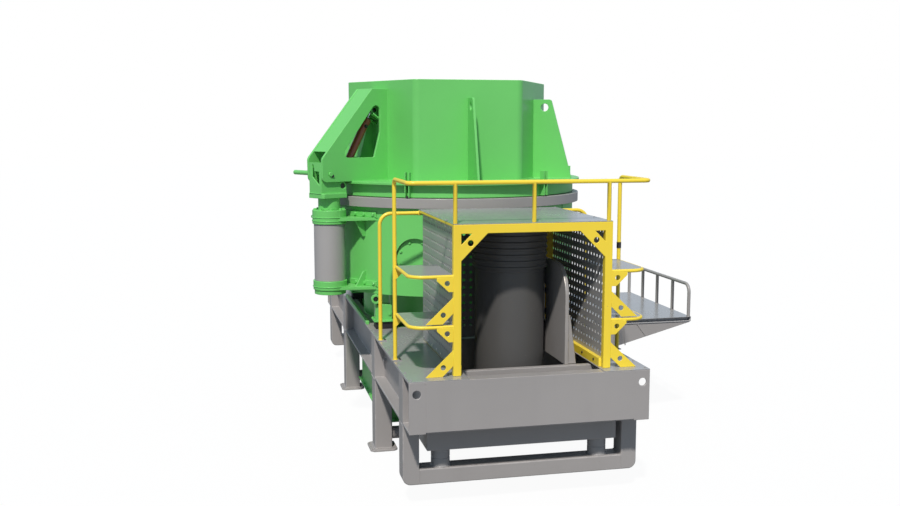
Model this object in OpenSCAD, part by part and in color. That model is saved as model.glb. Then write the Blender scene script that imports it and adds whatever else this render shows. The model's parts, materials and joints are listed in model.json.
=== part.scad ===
// Vertical shaft impact crusher, twin motor, on its own steel frame.
// X runs across the machine, Y along it and Z up. The origin is on the crusher's
// vertical axis at ground level, where the foot plates stand.

/* [Frame] */
// Length of the frame over its end plates
frame_len = 6460; // [6100:20:7800]
// Width of the frame over its flange tips
frame_w = 2100; // [2060:10:2300]
// Height of the frame's top above the ground
frame_top = 1180; // [1100:10:1250]
// Depth of the side beams
beam_h = 440; // [400:10:480]
// Width of the side beams' flanges
flange_w = 120; // [100:5:130]
// Thickness of the frame's flanges
flange_t = 20; // [12:1:25]
// Thickness of the frame's webs
web_t = 14; // [10:1:20]
// Diameter of the lifting hole in each corner plate
lift_hole_d = 70; // [50:5:90]
// Thickness of the deck plates
deck_t = 6; // [5:1:10]

/* [Legs] */
// Width of a leg across the machine
leg_w = 175; // [150:5:200]
// Depth of a leg along the machine
leg_d = 200; // [160:5:220]
// Distance of the leg's centre from the crusher's axis
leg_y = 1225; // [1180:5:1300]
// Thickness of the foot plates
foot_t = 20; // [15:1:30]
// Diameter of the tubes that tie the legs in pairs
tie_d = 125; // [90:5:140]
// Height of the tie tubes' centres
tie_z = 150; // [110:5:200]
// Diameter of the anchor holes in the foot plates
anchor_d = 26; // [20:1:32]

/* [End portals] */
// Distance of a portal's outer face from the frame's end
portal_in = 298; // [250:5:400]
// Width of a portal's columns
portal_w = 144; // [110:1:150]
// Depth of a portal's columns
portal_d = 186; // [160:2:220]
// Height of the portal's lower face
portal_z = 204; // [180:2:240]
// Height of the portal's cross beam
portal_beam_h = 136; // [110:2:150]
// Diameter of the buffers
buffer_d = 172; // [130:2:180]
// Distance between the buffers of a pair
buffer_pitch = 1430; // [1300:10:1500]
// Depth of the drive box under the frame
box_h = 243; // [180:1:290]
// Width of the drive box
box_w = 1712; // [1500:2:1720]

/* [Crusher body] */
// Outer radius of the shell
shell_r = 1390; // [1340:5:1420]
// Gap between the frame's top and the shell, where the feet stand
shell_lift = 365; // [300:5:420]
// Height of the shell
shell_h = 890; // [850:5:950]
// Wall of the shell
shell_t = 20; // [12:1:30]
// Reach of the grey ring past the shell
ring_lip = 60; // [50:5:80]
// Thickness of the grey ring
ring_t = 100; // [80:5:105]
// Setback of the drum under the shell
drum_in = 430; // [430:5:520]
// Radius of the round inspection opening
hatch_r = 205; // [150:5:230]
// Height of the inspection opening's centre above the shell's lower edge
hatch_up = 380; // [300:5:480]

/* [Lid] */
// Gap between the ring and the closed lid
lid_gap = 6; // [6:1:8]
// Height of the lid's skirt
skirt_h = 124; // [110:1:140]
// Reach of the lid's disc past the shell
disc_lip = 70; // [60:5:80]
// Thickness of the lid's disc
disc_t = 25; // [15:1:30]
// Distance across the flats of the hopper, halved
hopper_a = 975; // [900:5:1000]
// Height of the hopper
hopper_h = 1030; // [900:10:1200]
// Sheet of the hopper
hopper_t = 12; // [8:1:16]
// Radius of the feed opening in the disc
feed_r = 380; // [300:10:500]
// Thickness of the lifting fins
fin_t = 25; // [16:1:32]

/* [Lift and swing] */
// Distance of the swing column's axis from the shell
column_out = 258; // [250:2:290]
// Radius of the grey column
column_r = 158; // [120:2:170]
// Radius of the column's collars
collar_r = 172; // [172:1:180]
// Radius of the turning neck
neck_r = 111; // [80:1:125]
// Width over the lift arm's two plates
arm_w = 264; // [240:2:300]
// Thickness of the lift arm's plates
arm_t = 25; // [16:1:30]
// Radius of the lift arm's hinge pin
hinge_r = 24; // [20:1:30]
// Outer radius of the hydraulic barrel
barrel_r = 40; // [32:1:42]
// Radius of the hydraulic rod
rod_r = 22; // [16:1:25]
// Side clearance between the arm and the pivot head
arm_gap = 5; // [5:1:10]

/* [Motor and guard] */
// Radius of the motor's frame
motor_r = 318; // [280:2:325]
// Height of the fan cowl on top of the motor
cowl_h = 360; // [300:10:380]
// Distance of the mounting plate from the motor's frame
seat_gap = 62; // [42:2:82]
// Width of a guard over its posts
guard_w = 1384; // [1300:4:1430]
// Sideways shift of the motors and guards from the machine's centre plane
guard_off = 38; // [0:2:40]
// Sideways shift of the handrails from the machine's centre plane
rail_off = 18; // [0:2:20]
// Length of a guard
guard_l = 1500; // [1400:10:1560]
// Distance of a guard from the frame's end
guard_in = 106; // [60:2:150]
// Width of a guard post
post_w = 66; // [60:2:90]
// Height of a guard's top beam
guard_beam_h = 76; // [60:2:90]
// Depth of a guard post
post_d = 60; // [40:5:70]
// Height of the roof over the frame
roof_up = 1270; // [1220:10:1290]
// Thickness of the guard's side panels
panel_t = 5; // [3:1:8]
// Height of the handrail above the roof deck
rail_h = 359; // [300:1:400]
// Radius of the yellow tubes
tube_r = 18; // [14:1:20]
// Distance between the ladder rails of a guard, halved
ladder_x = 1046; // [1016:5:1050]
// Rise between the steps
step_rise = 420; // [380:5:440]
// Thickness of the brace plates
brace_t = 8; // [5:1:12]

/* [Side platform] */
// Reach of the platform from the frame's side
platform_w = 1405; // [1100:5:1500]
// Length of the platform
platform_l = 1680; // [1500:10:1900]
// Distance of the platform's middle from the crusher's axis
platform_y = -290; // [-350:10:100]
// Height of the platform's rail
platform_rail_h = 370; // [350:10:450]
// Radius of the platform's rail tubes
platform_tube_r = 18; // [12:1:20]

/* [Hidden] */
$fn = 96;

green = [0.36, 0.74, 0.36];
grey = [0.60, 0.58, 0.57];
yellow = [0.98, 0.82, 0.25];

half_l = frame_len / 2;
half_w = frame_w / 2;
frame_bot = frame_top - beam_h;
web_x = half_w - flange_w;
deck_z = frame_top + deck_t;
box_z = frame_bot - box_h;
end_plate_t = 20;
corner_w = 140;
cover_gap = 10;
cover_up = 13;
cover_t = 14;
end_flange = 120;
portal_y = half_l - portal_in - portal_d / 2;
portal_bend = 70;
portal_out = 10;
portal_off = 8;
buffer_off = 9;
box_off = 14;

shell_z = frame_top + shell_lift;
ring_z = shell_z + shell_h;
ring_r = shell_r + ring_lip;
disc_r = shell_r + disc_lip;
drum_r = shell_r - drum_in;
hatch_z = shell_z + hatch_up;
ring_top = ring_z + ring_t;
skirt_z = ring_top + lid_gap;
disc_z = skirt_z + skirt_h;
lid_z = disc_z + disc_t;
hopper_top = lid_z + hopper_h;
ring_in = shell_r - 60;
floor_t = 25;
drum_t = 15;
floor_hole_r = drum_r - 90;

arm_side = 210;
plate_t = 32;
column_l = shell_r + column_out;
upper_plate_z = ring_z - 137;
lower_plate_z = shell_z + 46;
collar_top = ring_z - 29;
collar_low = lower_plate_z - 46;
strap_w = 400;
shaft_r = 70;
head_z = ring_top - 8;
head_t = 48;
head_half = arm_w / 2 - 2;
cheek_t = 25;
cheek_y = arm_w / 2 - arm_t - arm_gap;
head_in = column_l - 148;
head_out = column_l + 167;
hinge_x = column_l + 72;
hinge_z = lid_z + 82;
foot_pin_x = column_l - 103;
foot_pin_z = head_z + 121;
foot_pin_r = 30;
rod_pin_x = hopper_a + 120;
rod_pin_z = hopper_top - 305;
rod_pin_r = 24;
pin_gap = 0.5;
pin_tail = 350;
rod_eye_gap = 1.5;
cyl_len = sqrt(pow(foot_pin_x - rod_pin_x, 2) + pow(rod_pin_z - foot_pin_z, 2));
cyl_tilt = atan2(rod_pin_x - foot_pin_x, rod_pin_z - foot_pin_z);

guard_y = half_l - guard_in;
guard_back = guard_y - guard_l;
guard_mid = guard_y - guard_l / 2;
roof_z = frame_top + roof_up;
cowl_z = roof_z - 450;
seat_x = motor_r + seat_gap;
ladder_y = guard_y - 684;
back_rail_y = guard_back - 30;
rail_z = roof_z + rail_h;
step_up = 18;
step_down = 14;
seat_t = 35;
seat_foot = 80;
deck_in = seat_x + seat_t + seat_foot + guard_off + 7;
seat_top = frame_top + 860;

platform_z = frame_top + 11;
platform_edge = 50;
platform_lip = 45;
platform_bend = 90;
chute_x = web_x - 60;
chute_y = drum_r - 10;
chute_z = 180;
feet_y0 = drum_r - 120;
feet_y1 = drum_r + 70;
foot_x0 = drum_r - 145;
foot_x1 = drum_r + 25;

// Points of an outline with its corners rounded: p holds the corners, r their radii
function turn(a, b) = atan2(a[0] * b[1] - a[1] * b[0], a * b);
function rounded(p, r, n = 6) = [for (i = [0:len(p) - 1])
    let (q = p[i], u = p[(i + len(p) - 1) % len(p)] - q, v = p[(i + 1) % len(p)] - q,
        uu = u / norm(u), vv = v / norm(v), half = acos(uu * vv) / 2,
        cut = r[i] / tan(half), mid = (uu + vv) / norm(uu + vv),
        c = q + mid * (r[i] / sin(half)), a = q + uu * cut - c, sweep = turn(a, q + vv * cut - c))
    for (k = [0:r[i] > 0 ? n : 0]) r[i] > 0 ? c + [a[0] * cos(sweep * k / n) - a[1] * sin(sweep * k / n),
        a[0] * sin(sweep * k / n) + a[1] * cos(sweep * k / n)] : q];

module both_ends() {
    children();
    mirror([0, 1, 0]) children();
}
module both_sides() {
    children();
    mirror([1, 0, 0]) children();
}
module at_arm() { rotate([0, 0, arm_side]) children(); }
// A plate standing in a plane of X and Z, from y0 on by t
module upright(y0, t) { translate([0, y0 + t, 0]) rotate([90, 0, 0]) linear_extrude(t) children(); }
module pin(x, z, r, half) { translate([x, half, z]) rotate([90, 0, 0]) cylinder(h = 2 * half, r = r); }
module slab(x0, x1, y0, y1, z0, z1) { translate([x0, y0, z0]) cube([x1 - x0, y1 - y0, z1 - z0]); }

// ---- frame ----
module side_beam() {
    slab(web_x, web_x + web_t, -half_l + end_plate_t, half_l - end_plate_t, frame_bot, frame_top);
    for (z = [frame_bot, frame_top - flange_t])
        slab(web_x, half_w, -half_l + end_plate_t, half_l - end_plate_t, z, z + flange_t);
    for (s = [-1, 1]) {
        slab(web_x, half_w, s * leg_y - leg_d / 2, s * leg_y + leg_d / 2, frame_bot, frame_top);
        slab(web_x, half_w, s * portal_y - portal_d / 2, s * portal_y + portal_d / 2,
            frame_bot, frame_top);
    }
}
module side_beams() { color(grey) both_sides() side_beam(); }

module end_beam() {
    difference() {
        union() {
            slab(-web_x, web_x, -half_l, -half_l + end_flange, frame_top - flange_t, frame_top);
            slab(-web_x, web_x, -half_l + cover_t, -half_l + end_flange, frame_bot, frame_bot + flange_t);
            slab(-web_x, web_x, -half_l + cover_t, -half_l + cover_t + web_t, frame_bot, frame_top);
            slab(-half_w + corner_w, half_w - corner_w, -half_l, -half_l + cover_t,
                frame_bot + cover_up, frame_top - flange_t - cover_gap);
            both_sides()
                slab(half_w - corner_w, half_w, -half_l, -half_l + end_plate_t, frame_bot, frame_top);
        }
        for (s = [-1, 1]) translate([s * (half_w - 65), -half_l - 1, frame_top - 105]) rotate([-90, 0, 0])
            cylinder(h = end_plate_t + 2, d = lift_hole_d);
    }
}
module end_beams() { color(grey) both_ends() end_beam(); }

module cross_beams() {
    color(grey) both_ends() {
        slab(-web_x, web_x, -feet_y1, -chute_y, frame_bot, frame_top);
        for (y = [guard_back - 100, portal_y])
            slab(-web_x, web_x, -y - 30, -y + 30, frame_bot, frame_top - 20);
    }
}

module deck_plates() {
    color(grey) both_ends() both_sides()
        slab(deck_in, half_w, -half_l, -feet_y1 - 20, frame_top, deck_z);
}

// ---- legs and portals ----
module legs() {
    color(grey) both_ends() both_sides()
        slab(half_w - leg_w, half_w, leg_y - leg_d / 2, leg_y + leg_d / 2, foot_t, frame_bot);
}
module foot_plates() {
    fx = leg_w / 2 + 50;
    fy = leg_d / 2 + 50;
    c = 35;
    color(grey) both_ends() both_sides() translate([half_w - leg_w / 2, leg_y, 0]) difference() {
        linear_extrude(foot_t) polygon([[-fx + c, -fy], [fx - c, -fy], [fx, -fy + c], [fx, fy - c],
            [fx - c, fy], [-fx + c, fy], [-fx, fy - c], [-fx, -fy + c]]);
        for (x = [-1, 1], y = [-1, 1]) translate([x * (fx - 26), y * (fy - 45), -1])
            cylinder(h = foot_t + 2, d = anchor_d);
    }
}
module leg_ties() {
    color(grey) both_ends() translate([-half_w + leg_w, leg_y, tie_z]) rotate([0, 90, 0])
        cylinder(h = frame_w - 2 * leg_w, d = tie_d);
}
module end_portals() {
    x = half_w + portal_out;
    color(grey) both_ends() translate([portal_off, 0, 0])
        upright(portal_y - portal_d / 2, portal_d) difference() {
            polygon(rounded([[-x, frame_bot], [-x, portal_z], [x, portal_z], [x, frame_bot]],
                [0, portal_bend, portal_bend, 0]));
            translate([portal_w - x, portal_z + portal_beam_h])
                square([2 * x - 2 * portal_w, frame_bot]);
        }
}
module buffers() {
    color(grey) both_ends() for (s = [-1, 1])
        translate([s * buffer_pitch / 2 + buffer_off, portal_y, portal_z + portal_beam_h])
            cylinder(h = box_z - portal_z - portal_beam_h, d = buffer_d);
}
module drive_boxes() {
    x0 = box_off - box_w / 2;
    x1 = box_off + box_w / 2;
    color(grey) both_ends() difference() {
        slab(x0, x1, leg_y - 200, portal_y + 94, box_z, frame_bot);
        slab(x0 + 10, x1 - 10, leg_y - 190, portal_y + 84, box_z + 10, frame_bot - 10);
        translate([guard_off, guard_mid, frame_bot - 20]) cylinder(h = 30, r = 240);
    }
}

// ---- crusher body ----
module discharge_chute() {
    color(green) difference() {
        union() {
            slab(-chute_x, chute_x, -chute_y, chute_y, chute_z, frame_top);
            slab(-chute_x - 40, chute_x + 40, -chute_y - 40, chute_y + 40, chute_z, chute_z + 14);
        }
        slab(-chute_x + 12, chute_x - 12, -chute_y + 12, chute_y - 12, chute_z - 1, frame_top + 1);
    }
}
module base_rails() {
    color(green) for (a = [0, 180]) rotate([0, 0, a])
        slab(-half_w, -half_w + 35, -730, feet_y1, frame_top, frame_top + 35);
}
module body_feet() {
    color(green) both_ends() both_sides() difference() {
        union() {
            slab(foot_x0, foot_x1, feet_y0 + 40, feet_y1 - 40, frame_top + 90, frame_top + 250);
            slab(foot_x0 - 25, foot_x1 + 20, feet_y0, feet_y1, frame_top + 76, frame_top + 90);
            for (x = [foot_x0, foot_x1 - 16])
                slab(x, x + 16, feet_y0 + 40, feet_y1 - 40, frame_top + 90, shell_z);
            translate([foot_x1, feet_y1 - 41, shell_z - 50]) rotate([-90, 0, 0]) cylinder(h = 41, r = 48);
        }
        translate([foot_x1, feet_y1 - 25, shell_z - 50]) rotate([-90, 0, 0]) cylinder(h = 60, r = 27);
    }
}
module foot_pads() {
    color([0.1, 0.1, 0.1]) both_ends() both_sides()
        slab(foot_x0 - 5, foot_x1, feet_y0 + 20, feet_y1 - 20, frame_top, frame_top + 76);
}
module lower_drum() {
    color(green) translate([0, 0, frame_top]) difference() {
        cylinder(h = shell_z - frame_top, r = drum_r);
        translate([0, 0, -1]) cylinder(h = shell_z, r = drum_r - drum_t);
    }
}
hatch_az = 243.5;
hatch_deep = 45;
module at_hatch() {
    rotate([0, 0, hatch_az]) translate([shell_r, 0, hatch_z]) rotate([0, -90, 0]) children();
}
module body_shell() {
    color(green) difference() {
        union() {
            translate([0, 0, shell_z]) difference() {
                cylinder(h = ring_z - shell_z, r = shell_r);
                translate([0, 0, floor_t]) cylinder(h = ring_z, r = shell_r - shell_t);
                translate([0, 0, -1]) cylinder(h = ring_z, r = floor_hole_r);
            }
            intersection() {
                at_hatch() translate([0, 0, -20]) cylinder(h = 120, r = hatch_r + 14);
                translate([0, 0, shell_z]) cylinder(h = ring_z - shell_z, r = shell_r - 1);
            }
        }
        at_hatch() translate([0, 0, -40]) cylinder(h = 200, r = hatch_r);
    }
}
module body_ring() {
    color(grey) translate([0, 0, ring_z]) difference() {
        cylinder(h = ring_t, r = ring_r);
        translate([0, 0, -1]) cylinder(h = ring_t + 2, r = ring_in);
    }
}
module hatch_cover() {
    color(green) at_hatch() translate([0, 0, hatch_deep]) cylinder(h = 14, r = hatch_r);
}

// ---- swing column ----
weld_gap = 0.3;
module strap_plate(z) {
    translate([0, 0, z]) linear_extrude(plate_t) difference() {
        union() {
            translate([column_l, 0]) circle(r = collar_r);
            polygon([[shell_r - 120, -strap_w], [shell_r - 80, -strap_w], [column_l, -collar_r],
                [column_l, collar_r], [shell_r - 80, strap_w], [shell_r - 120, strap_w]]);
        }
        circle(r = shell_r + weld_gap);
    }
}
module strap_gussets(z0, z1) {
    for (s = [-1, 1]) difference() {
        translate([0, s * 230 - 8, 0]) rotate([90, 0, 0]) translate([0, 0, -16]) linear_extrude(16)
            polygon([[shell_r - 60, z0], [shell_r + 110, z0], [shell_r + 10, z1], [shell_r - 60, z1]]);
        cylinder(h = ring_top, r = shell_r + weld_gap);
    }
}
module cleat(z) {
    rotate([0, 0, -16]) rotate_extrude(angle = 32) translate([shell_r + weld_gap, z]) square([16, 56]);
}
module column_brackets() {
    color(green) at_arm() difference() {
        column_ends();
        translate([column_l, 0, collar_low - 1]) cylinder(h = collar_top, r = shaft_r + pin_gap);
    }
}
module column_ends() {
    union() {
        strap_plate(upper_plate_z);
        translate([column_l, 0, upper_plate_z + plate_t])
            cylinder(h = collar_top - upper_plate_z - plate_t, r = collar_r);
        translate([column_l, 0, upper_plate_z - 33]) cylinder(h = 33, r = collar_r);
        cleat(upper_plate_z + plate_t);
        strap_gussets(upper_plate_z, upper_plate_z - 170);
        strap_plate(lower_plate_z);
        translate([column_l, 0, lower_plate_z + plate_t]) cylinder(h = 62, r = collar_r);
        translate([column_l, 0, collar_low]) cylinder(h = lower_plate_z - collar_low, r = collar_r - 12);
        cleat(lower_plate_z + plate_t);
        strap_gussets(lower_plate_z + plate_t, lower_plate_z + plate_t + 150);
    }
}
module column_tube() {
    z0 = lower_plate_z + plate_t + 62;
    color(grey) at_arm() translate([column_l, 0, z0]) difference() {
        cylinder(h = upper_plate_z - 33 - z0, r = column_r);
        translate([0, 0, -1]) cylinder(h = collar_top, r = column_r - 20);
    }
}

// ---- turning head and lift ----
module swing_neck() {
    color(green) at_arm() translate([column_l, 0, 0]) {
        translate([0, 0, collar_top + 1]) cylinder(h = head_z - collar_top - 1, r = neck_r);
        translate([0, 0, collar_low]) cylinder(h = collar_top + 2 - collar_low, r = shaft_r);
    }
}
module pivot_head() {
    color(green) at_arm() difference() {
        union() {
            translate([0, 0, head_z]) linear_extrude(head_t) polygon([[head_in, -head_half + 20],
                [head_in + 20, -head_half], [head_out - 20, -head_half], [head_out, -head_half + 20],
                [head_out, head_half - 20], [head_out - 20, head_half], [head_in + 20, head_half],
                [head_in, head_half - 20]]);
            for (y = [-cheek_y, cheek_y - cheek_t]) upright(y, cheek_t)
                polygon(rounded([[head_in, head_z + head_t], [head_out - 15, head_z + head_t],
                    [head_out - 15, hinge_z + 60], [hinge_x - 60, hinge_z + 60],
                    [hinge_x - 85, foot_pin_z + 40], [head_in, foot_pin_z + 40]], [0, 0, 50, 40, 40, 40]));
            slab(head_out - 15, head_out, -cheek_y, cheek_y, head_z + head_t, hinge_z + 116);
        }
        pin(hinge_x, hinge_z, hinge_r, arm_w);
        pin(foot_pin_x, foot_pin_z, foot_pin_r, arm_w);
        translate([head_out - 20, 0, 0]) rotate([90, 0, 90]) linear_extrude(30)
            polygon([[-50, hinge_z - 28], [66, hinge_z - 112], [66, hinge_z + 26], [-16, hinge_z + 26],
                [-22, hinge_z + 88], [-36, hinge_z + 98], [-50, hinge_z + 86]]);
    }
}
module hinge_pin() {
    color(green) at_arm() {
        pin(hinge_x, hinge_z, hinge_r, arm_w / 2 + 14);
        translate([hinge_x, -arm_w / 2 - 13, hinge_z]) rotate([90, 0, 0])
            cylinder(h = pin_tail, r = hinge_r);
    }
}
module barrel_pin() {
    color(grey) at_arm() pin(foot_pin_x, foot_pin_z, foot_pin_r, cheek_y - 12);
}
module along_cylinder() {
    at_arm() translate([foot_pin_x, 0, foot_pin_z]) rotate([0, cyl_tilt, 0]) children();
}
barrel_len = cyl_len - 110;
module lift_barrel() {
    color([0.55, 0.25, 0.15]) along_cylinder() difference() {
        union() {
            translate([0, 0, 20]) cylinder(h = barrel_len - 20, r = barrel_r);
            pin(0, 0, 44, 36);
        }
        pin(0, 0, foot_pin_r + pin_gap, 60);
        translate([0, 0, 260]) cylinder(h = cyl_len, r = rod_r + pin_gap);
    }
}
module lift_rod() {
    color(grey) along_cylinder() difference() {
        union() {
            translate([0, 0, 280]) cylinder(h = cyl_len - 280, r = rod_r);
            pin(0, cyl_len, 40, 26);
        }
        pin(0, cyl_len, rod_pin_r + rod_eye_gap, 60);
    }
}
module rod_pin() { color(grey) at_arm() pin(rod_pin_x, rod_pin_z, rod_pin_r, 58); }
module arm_plates() {
    color(green) at_arm() for (y = [-arm_w / 2, arm_w / 2 - arm_t]) difference() {
        upright(y, arm_t) difference() {
            polygon(rounded([[hopper_a, lid_z], [head_out, lid_z], [head_out + 5, lid_z + 236],
                [hopper_a + 208, hopper_top - 88], [hopper_a, hopper_top - 88]], [0, 50, 60, 12, 0]));
            polygon(rounded([[hopper_a + 106, hopper_top - 167], [hopper_a + 106, lid_z + 500],
                [hopper_a + 186, lid_z + 240], [head_out - 219, lid_z + 240]], [52, 40, 20, 50]));
        }
        pin(hinge_x, hinge_z, hinge_r + pin_gap, arm_w);
    }
}
slope = atan2(hopper_top - 88 - lid_z - 236, head_out + 5 - hopper_a - 208);
module arm_cover() {
    half = arm_w / 2 - arm_t;
    color(green) at_arm() upright(-half, 2 * half) polygon([
        [hopper_a, hopper_top - 88], [hopper_a + 202, hopper_top - 88],
        [head_out - 62, lid_z + 236 + 67 * tan(slope) - 6],
        [head_out - 80, lid_z + 236 + 67 * tan(slope) - 6],
        [hopper_a + 196, hopper_top - 102], [hopper_a, hopper_top - 102]]);
}
module arm_lugs() {
    color(green) at_arm() difference() {
        union() {
            for (y = [-58, 34]) upright(y, 24) polygon(rounded([[hopper_a, rod_pin_z - 110],
                [rod_pin_x + 10, rod_pin_z - 60], [rod_pin_x + 50, rod_pin_z + 10],
                [rod_pin_x + 20, rod_pin_z + 60], [hopper_a, rod_pin_z + 90]], [0, 30, 30, 30, 0]));
            for (y = [-arm_w / 2 + arm_t, 58]) upright(y, arm_w / 2 - arm_t - 58)
                polygon([[hopper_a, rod_pin_z - 150], [hopper_a + 175, rod_pin_z - 45],
                    [hopper_a + 167, rod_pin_z - 31], [hopper_a, rod_pin_z - 134]]);
        }
        pin(rod_pin_x, rod_pin_z, rod_pin_r, 80);
    }
}

// ---- lid ----
function hexagon(a) = [for (i = [0:5]) [cos(60 * i), sin(60 * i)] * a / cos(30)];
bend_r = 90;
module lid_hopper() {
    color(green) translate([0, 0, lid_z]) linear_extrude(hopper_h) difference() {
        polygon(rounded(hexagon(hopper_a), [for (i = [0:5]) bend_r]));
        polygon(rounded(hexagon(hopper_a - hopper_t), [for (i = [0:5]) bend_r - hopper_t]));
    }
}
module lid_disc() {
    color(green) difference() {
        union() {
            translate([0, 0, disc_z]) cylinder(h = disc_t, r = disc_r);
            translate([0, 0, skirt_z]) cylinder(h = skirt_h, r = shell_r);
        }
        translate([0, 0, skirt_z - 1]) cylinder(h = skirt_h + 1, r = shell_r - shell_t);
        translate([0, 0, skirt_z]) cylinder(h = skirt_h + 2 * disc_t, r = feed_r);
    }
}
module lid_fins() {
    color(green) for (i = [0:5]) if (i != 3) rotate([0, 0, 30 + 60 * i]) difference() {
        upright(-fin_t / 2, fin_t) polygon(rounded([[hopper_a, lid_z], [disc_r - 60, lid_z],
            [hopper_a + 195, hopper_top - 185], [hopper_a, hopper_top - 185]], [0, 0, 30, 0]));
        pin(hopper_a + 122, hopper_top - 270, 42, fin_t);
    }
}
module lid_clamps() {
    color(green) for (i = [0:5], s = [-1, 1]) rotate([0, 0, 60 * i + 1]) {
        difference() {
            slab(shell_r - 4, shell_r + 62, s * 20 - 5, s * 20 + 5, skirt_z + 4, disc_z);
            cylinder(h = lid_z, r = shell_r);
        }
        slab(shell_r, shell_r + 58, s * 20 - 5, s * 20 + 5, lid_z, lid_z + 105);
    }
}

// ---- drives ----
module motors() {
    color([0.35, 0.36, 0.37]) both_ends() translate([guard_off, guard_mid, 0]) {
        translate([0, 0, frame_top - 160]) cylinder(h = cowl_z - frame_top + 160, r = motor_r);
        translate([0, 0, frame_top - 190]) cylinder(h = 30, r = motor_r - 30);
        translate([0, 0, frame_bot - 100]) cylinder(h = beam_h - 90, r = 45);
        translate([0, 0, frame_bot - 150]) cylinder(h = 110, r = 200);
        translate([0, 0, cowl_z]) cylinder(h = cowl_h, r = motor_r + 22);
        slab(170, seat_x, -404, -224, frame_top + 60, frame_top + 700);
    }
}
module motor_seats() {
    y0 = guard_back + 10;
    y1 = guard_y - 294;
    color(grey) both_ends() translate([guard_off, 0, 0]) {
        translate([seat_x, 0, 0]) rotate([90, 0, 90]) linear_extrude(seat_t) difference() {
            polygon(rounded([[y0, frame_top - 20], [y1, frame_top - 20], [y1, seat_top],
                [y0 + 200, seat_top], [y0, seat_top - 250]], [0, 0, 270, 80, 80]));
            polygon(rounded([[guard_mid - 220, frame_top + 270], [guard_mid - 90, frame_top + 270],
                [guard_mid - 90, frame_top + 615], [guard_mid - 220, frame_top + 615]],
                [30, 30, 30, 30]));
        }
        for (y = [y0 + 60, y1 - 40]) upright(y, 20)
            polygon([[seat_x + seat_t, frame_top - 20], [seat_x + seat_t + seat_foot, frame_top - 20],
                [seat_x + seat_t + 20, frame_top + 420], [seat_x + seat_t, frame_top + 420]]);
    }
}

// ---- guards ----
guard_x = guard_w / 2;
side_in = guard_x - 40 - panel_t;
front_y = guard_y - post_d;
strip_t = 40;
roof_edge = 22;
module corner_brace() {
    difference() {
        polygon([[0, 0], [225, 0], [0, -225]]);
        polygon([[0, 0], [90, 0], [0, -90]]);
        translate([79, -79]) circle(r = 24);
    }
}
module guard_frame() {
    slab(-guard_x, guard_x, front_y, guard_y, roof_z - guard_beam_h, roof_z);
    slab(-side_in, side_in, guard_back, guard_back + post_d, roof_z - guard_beam_h, roof_z);
    both_sides() {
        slab(guard_x - post_w, guard_x, front_y, guard_y, deck_z, roof_z);
        slab(side_in - post_w, side_in, guard_back, guard_back + post_d, deck_z, roof_z);
        for (z = [deck_z, roof_z - guard_beam_h])
            slab(side_in - strip_t, side_in, guard_back, front_y, z, z + guard_beam_h);
        slab(side_in, guard_x, guard_back, front_y, roof_z - roof_edge, roof_z);
        upright(guard_y - brace_t, brace_t)
            translate([-guard_x + post_w, roof_z - guard_beam_h]) corner_brace();
    }
}
module guard_frames() { color(yellow) both_ends() translate([guard_off, 0, 0]) guard_frame(); }
module guard_panels() {
    color(grey) both_ends() translate([guard_off, 0, 0]) {
        both_sides()
            slab(side_in, side_in + panel_t, guard_back, front_y, deck_z + 10, roof_z - roof_edge);
        slab(2 - side_in, side_in - 2, guard_back - panel_t, guard_back, deck_z + 10, roof_z - roof_edge);
    }
}
module guard_roofs() {
    color(grey) both_ends() translate([guard_off, 0, 0])
        slab(-guard_x, guard_x, guard_back, guard_y, roof_z, roof_z + deck_t);
}

// ---- handrails and steps ----
module tube(a, b, r) {
    d = b - a;
    translate(a) rotate([0, acos(d[2] / norm(d)), atan2(d[1], d[0])]) cylinder(h = norm(d), r = r);
}
rail_bend = 60;
corner_bend = 110;
base_t = 8;
module elbow(bend, r) {
    rotate_extrude(angle = 90) translate([bend, 0]) circle(r = r, $fn = 32);
}
// The base of a tube, on the deck: side is 1 at the right and -1 at the left
module rail_base(x, y, side) {
    slab(x - (side > 0 ? 60 : 32), x + (side > 0 ? 32 : 60), y - 32, y + 32, deck_z, deck_z + base_t);
}
module handrail() {
    x = ladder_x;
    y = guard_y - tube_r;
    z = rail_z - tube_r;
    b = rail_bend;
    tube([-x + b, y, z], [x - b, y, z], tube_r);
    both_sides() {
        translate([x - b, y - b, z]) elbow(b, tube_r);
        tube([x, ladder_y + b, z], [x, y - b, z], tube_r);
        translate([x, ladder_y + b, z - b]) rotate([90, 0, -90]) elbow(b, tube_r);
        tube([x, ladder_y, deck_z + base_t], [x, ladder_y, z - b], tube_r);
        rail_base(x, ladder_y, 1);
    }
    for (px = [tube_r - guard_x, 0, guard_x - post_w / 2]) translate([guard_off - rail_off, 0, 0])
        tube([px, y, roof_z + deck_t], [px, y, z], tube_r);
}
module corner_rail(side) {
    x = side * ladder_x + rail_off;
    g = side * guard_x + guard_off;
    z = roof_z - tube_r - 12;
    r = corner_bend;
    tube([x, back_rail_y, deck_z + base_t], [x, back_rail_y, z - r], tube_r);
    translate([x - side * r, back_rail_y, z - r]) rotate([90, 0, 0])
        rotate([0, 0, side > 0 ? 0 : 90]) elbow(r, tube_r);
    tube([g, back_rail_y, z], [x - side * r, back_rail_y, z], tube_r);
    translate([g - (side > 0 ? 30 : 0), 0, 0])
        slab(0, 30, back_rail_y - tube_r, guard_back, z - tube_r, z + tube_r);
    rail_base(x, back_rail_y, side);
}
module handrails() {
    color(yellow) both_ends() {
        translate([rail_off, 0, 0]) handrail();
        for (side = [-1, 1]) corner_rail(side);
    }
}
module steps() {
    color(grey) both_ends() for (s = [-1, 1], i = [1, 2])
        let (g = s * guard_x + guard_off, x = s * ladder_x + rail_off)
        let (z = roof_z - i * step_rise)
        slab(min(g, x), max(g, x), ladder_y + tube_r, guard_y, z - step_down, z + step_up);
}
module under_gusset() {
    difference() {
        polygon([[0, 0], [140, 0], [140, -25], [40, -120], [0, -120]]);
        translate([52, -48]) circle(r = 22);
    }
}
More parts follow.
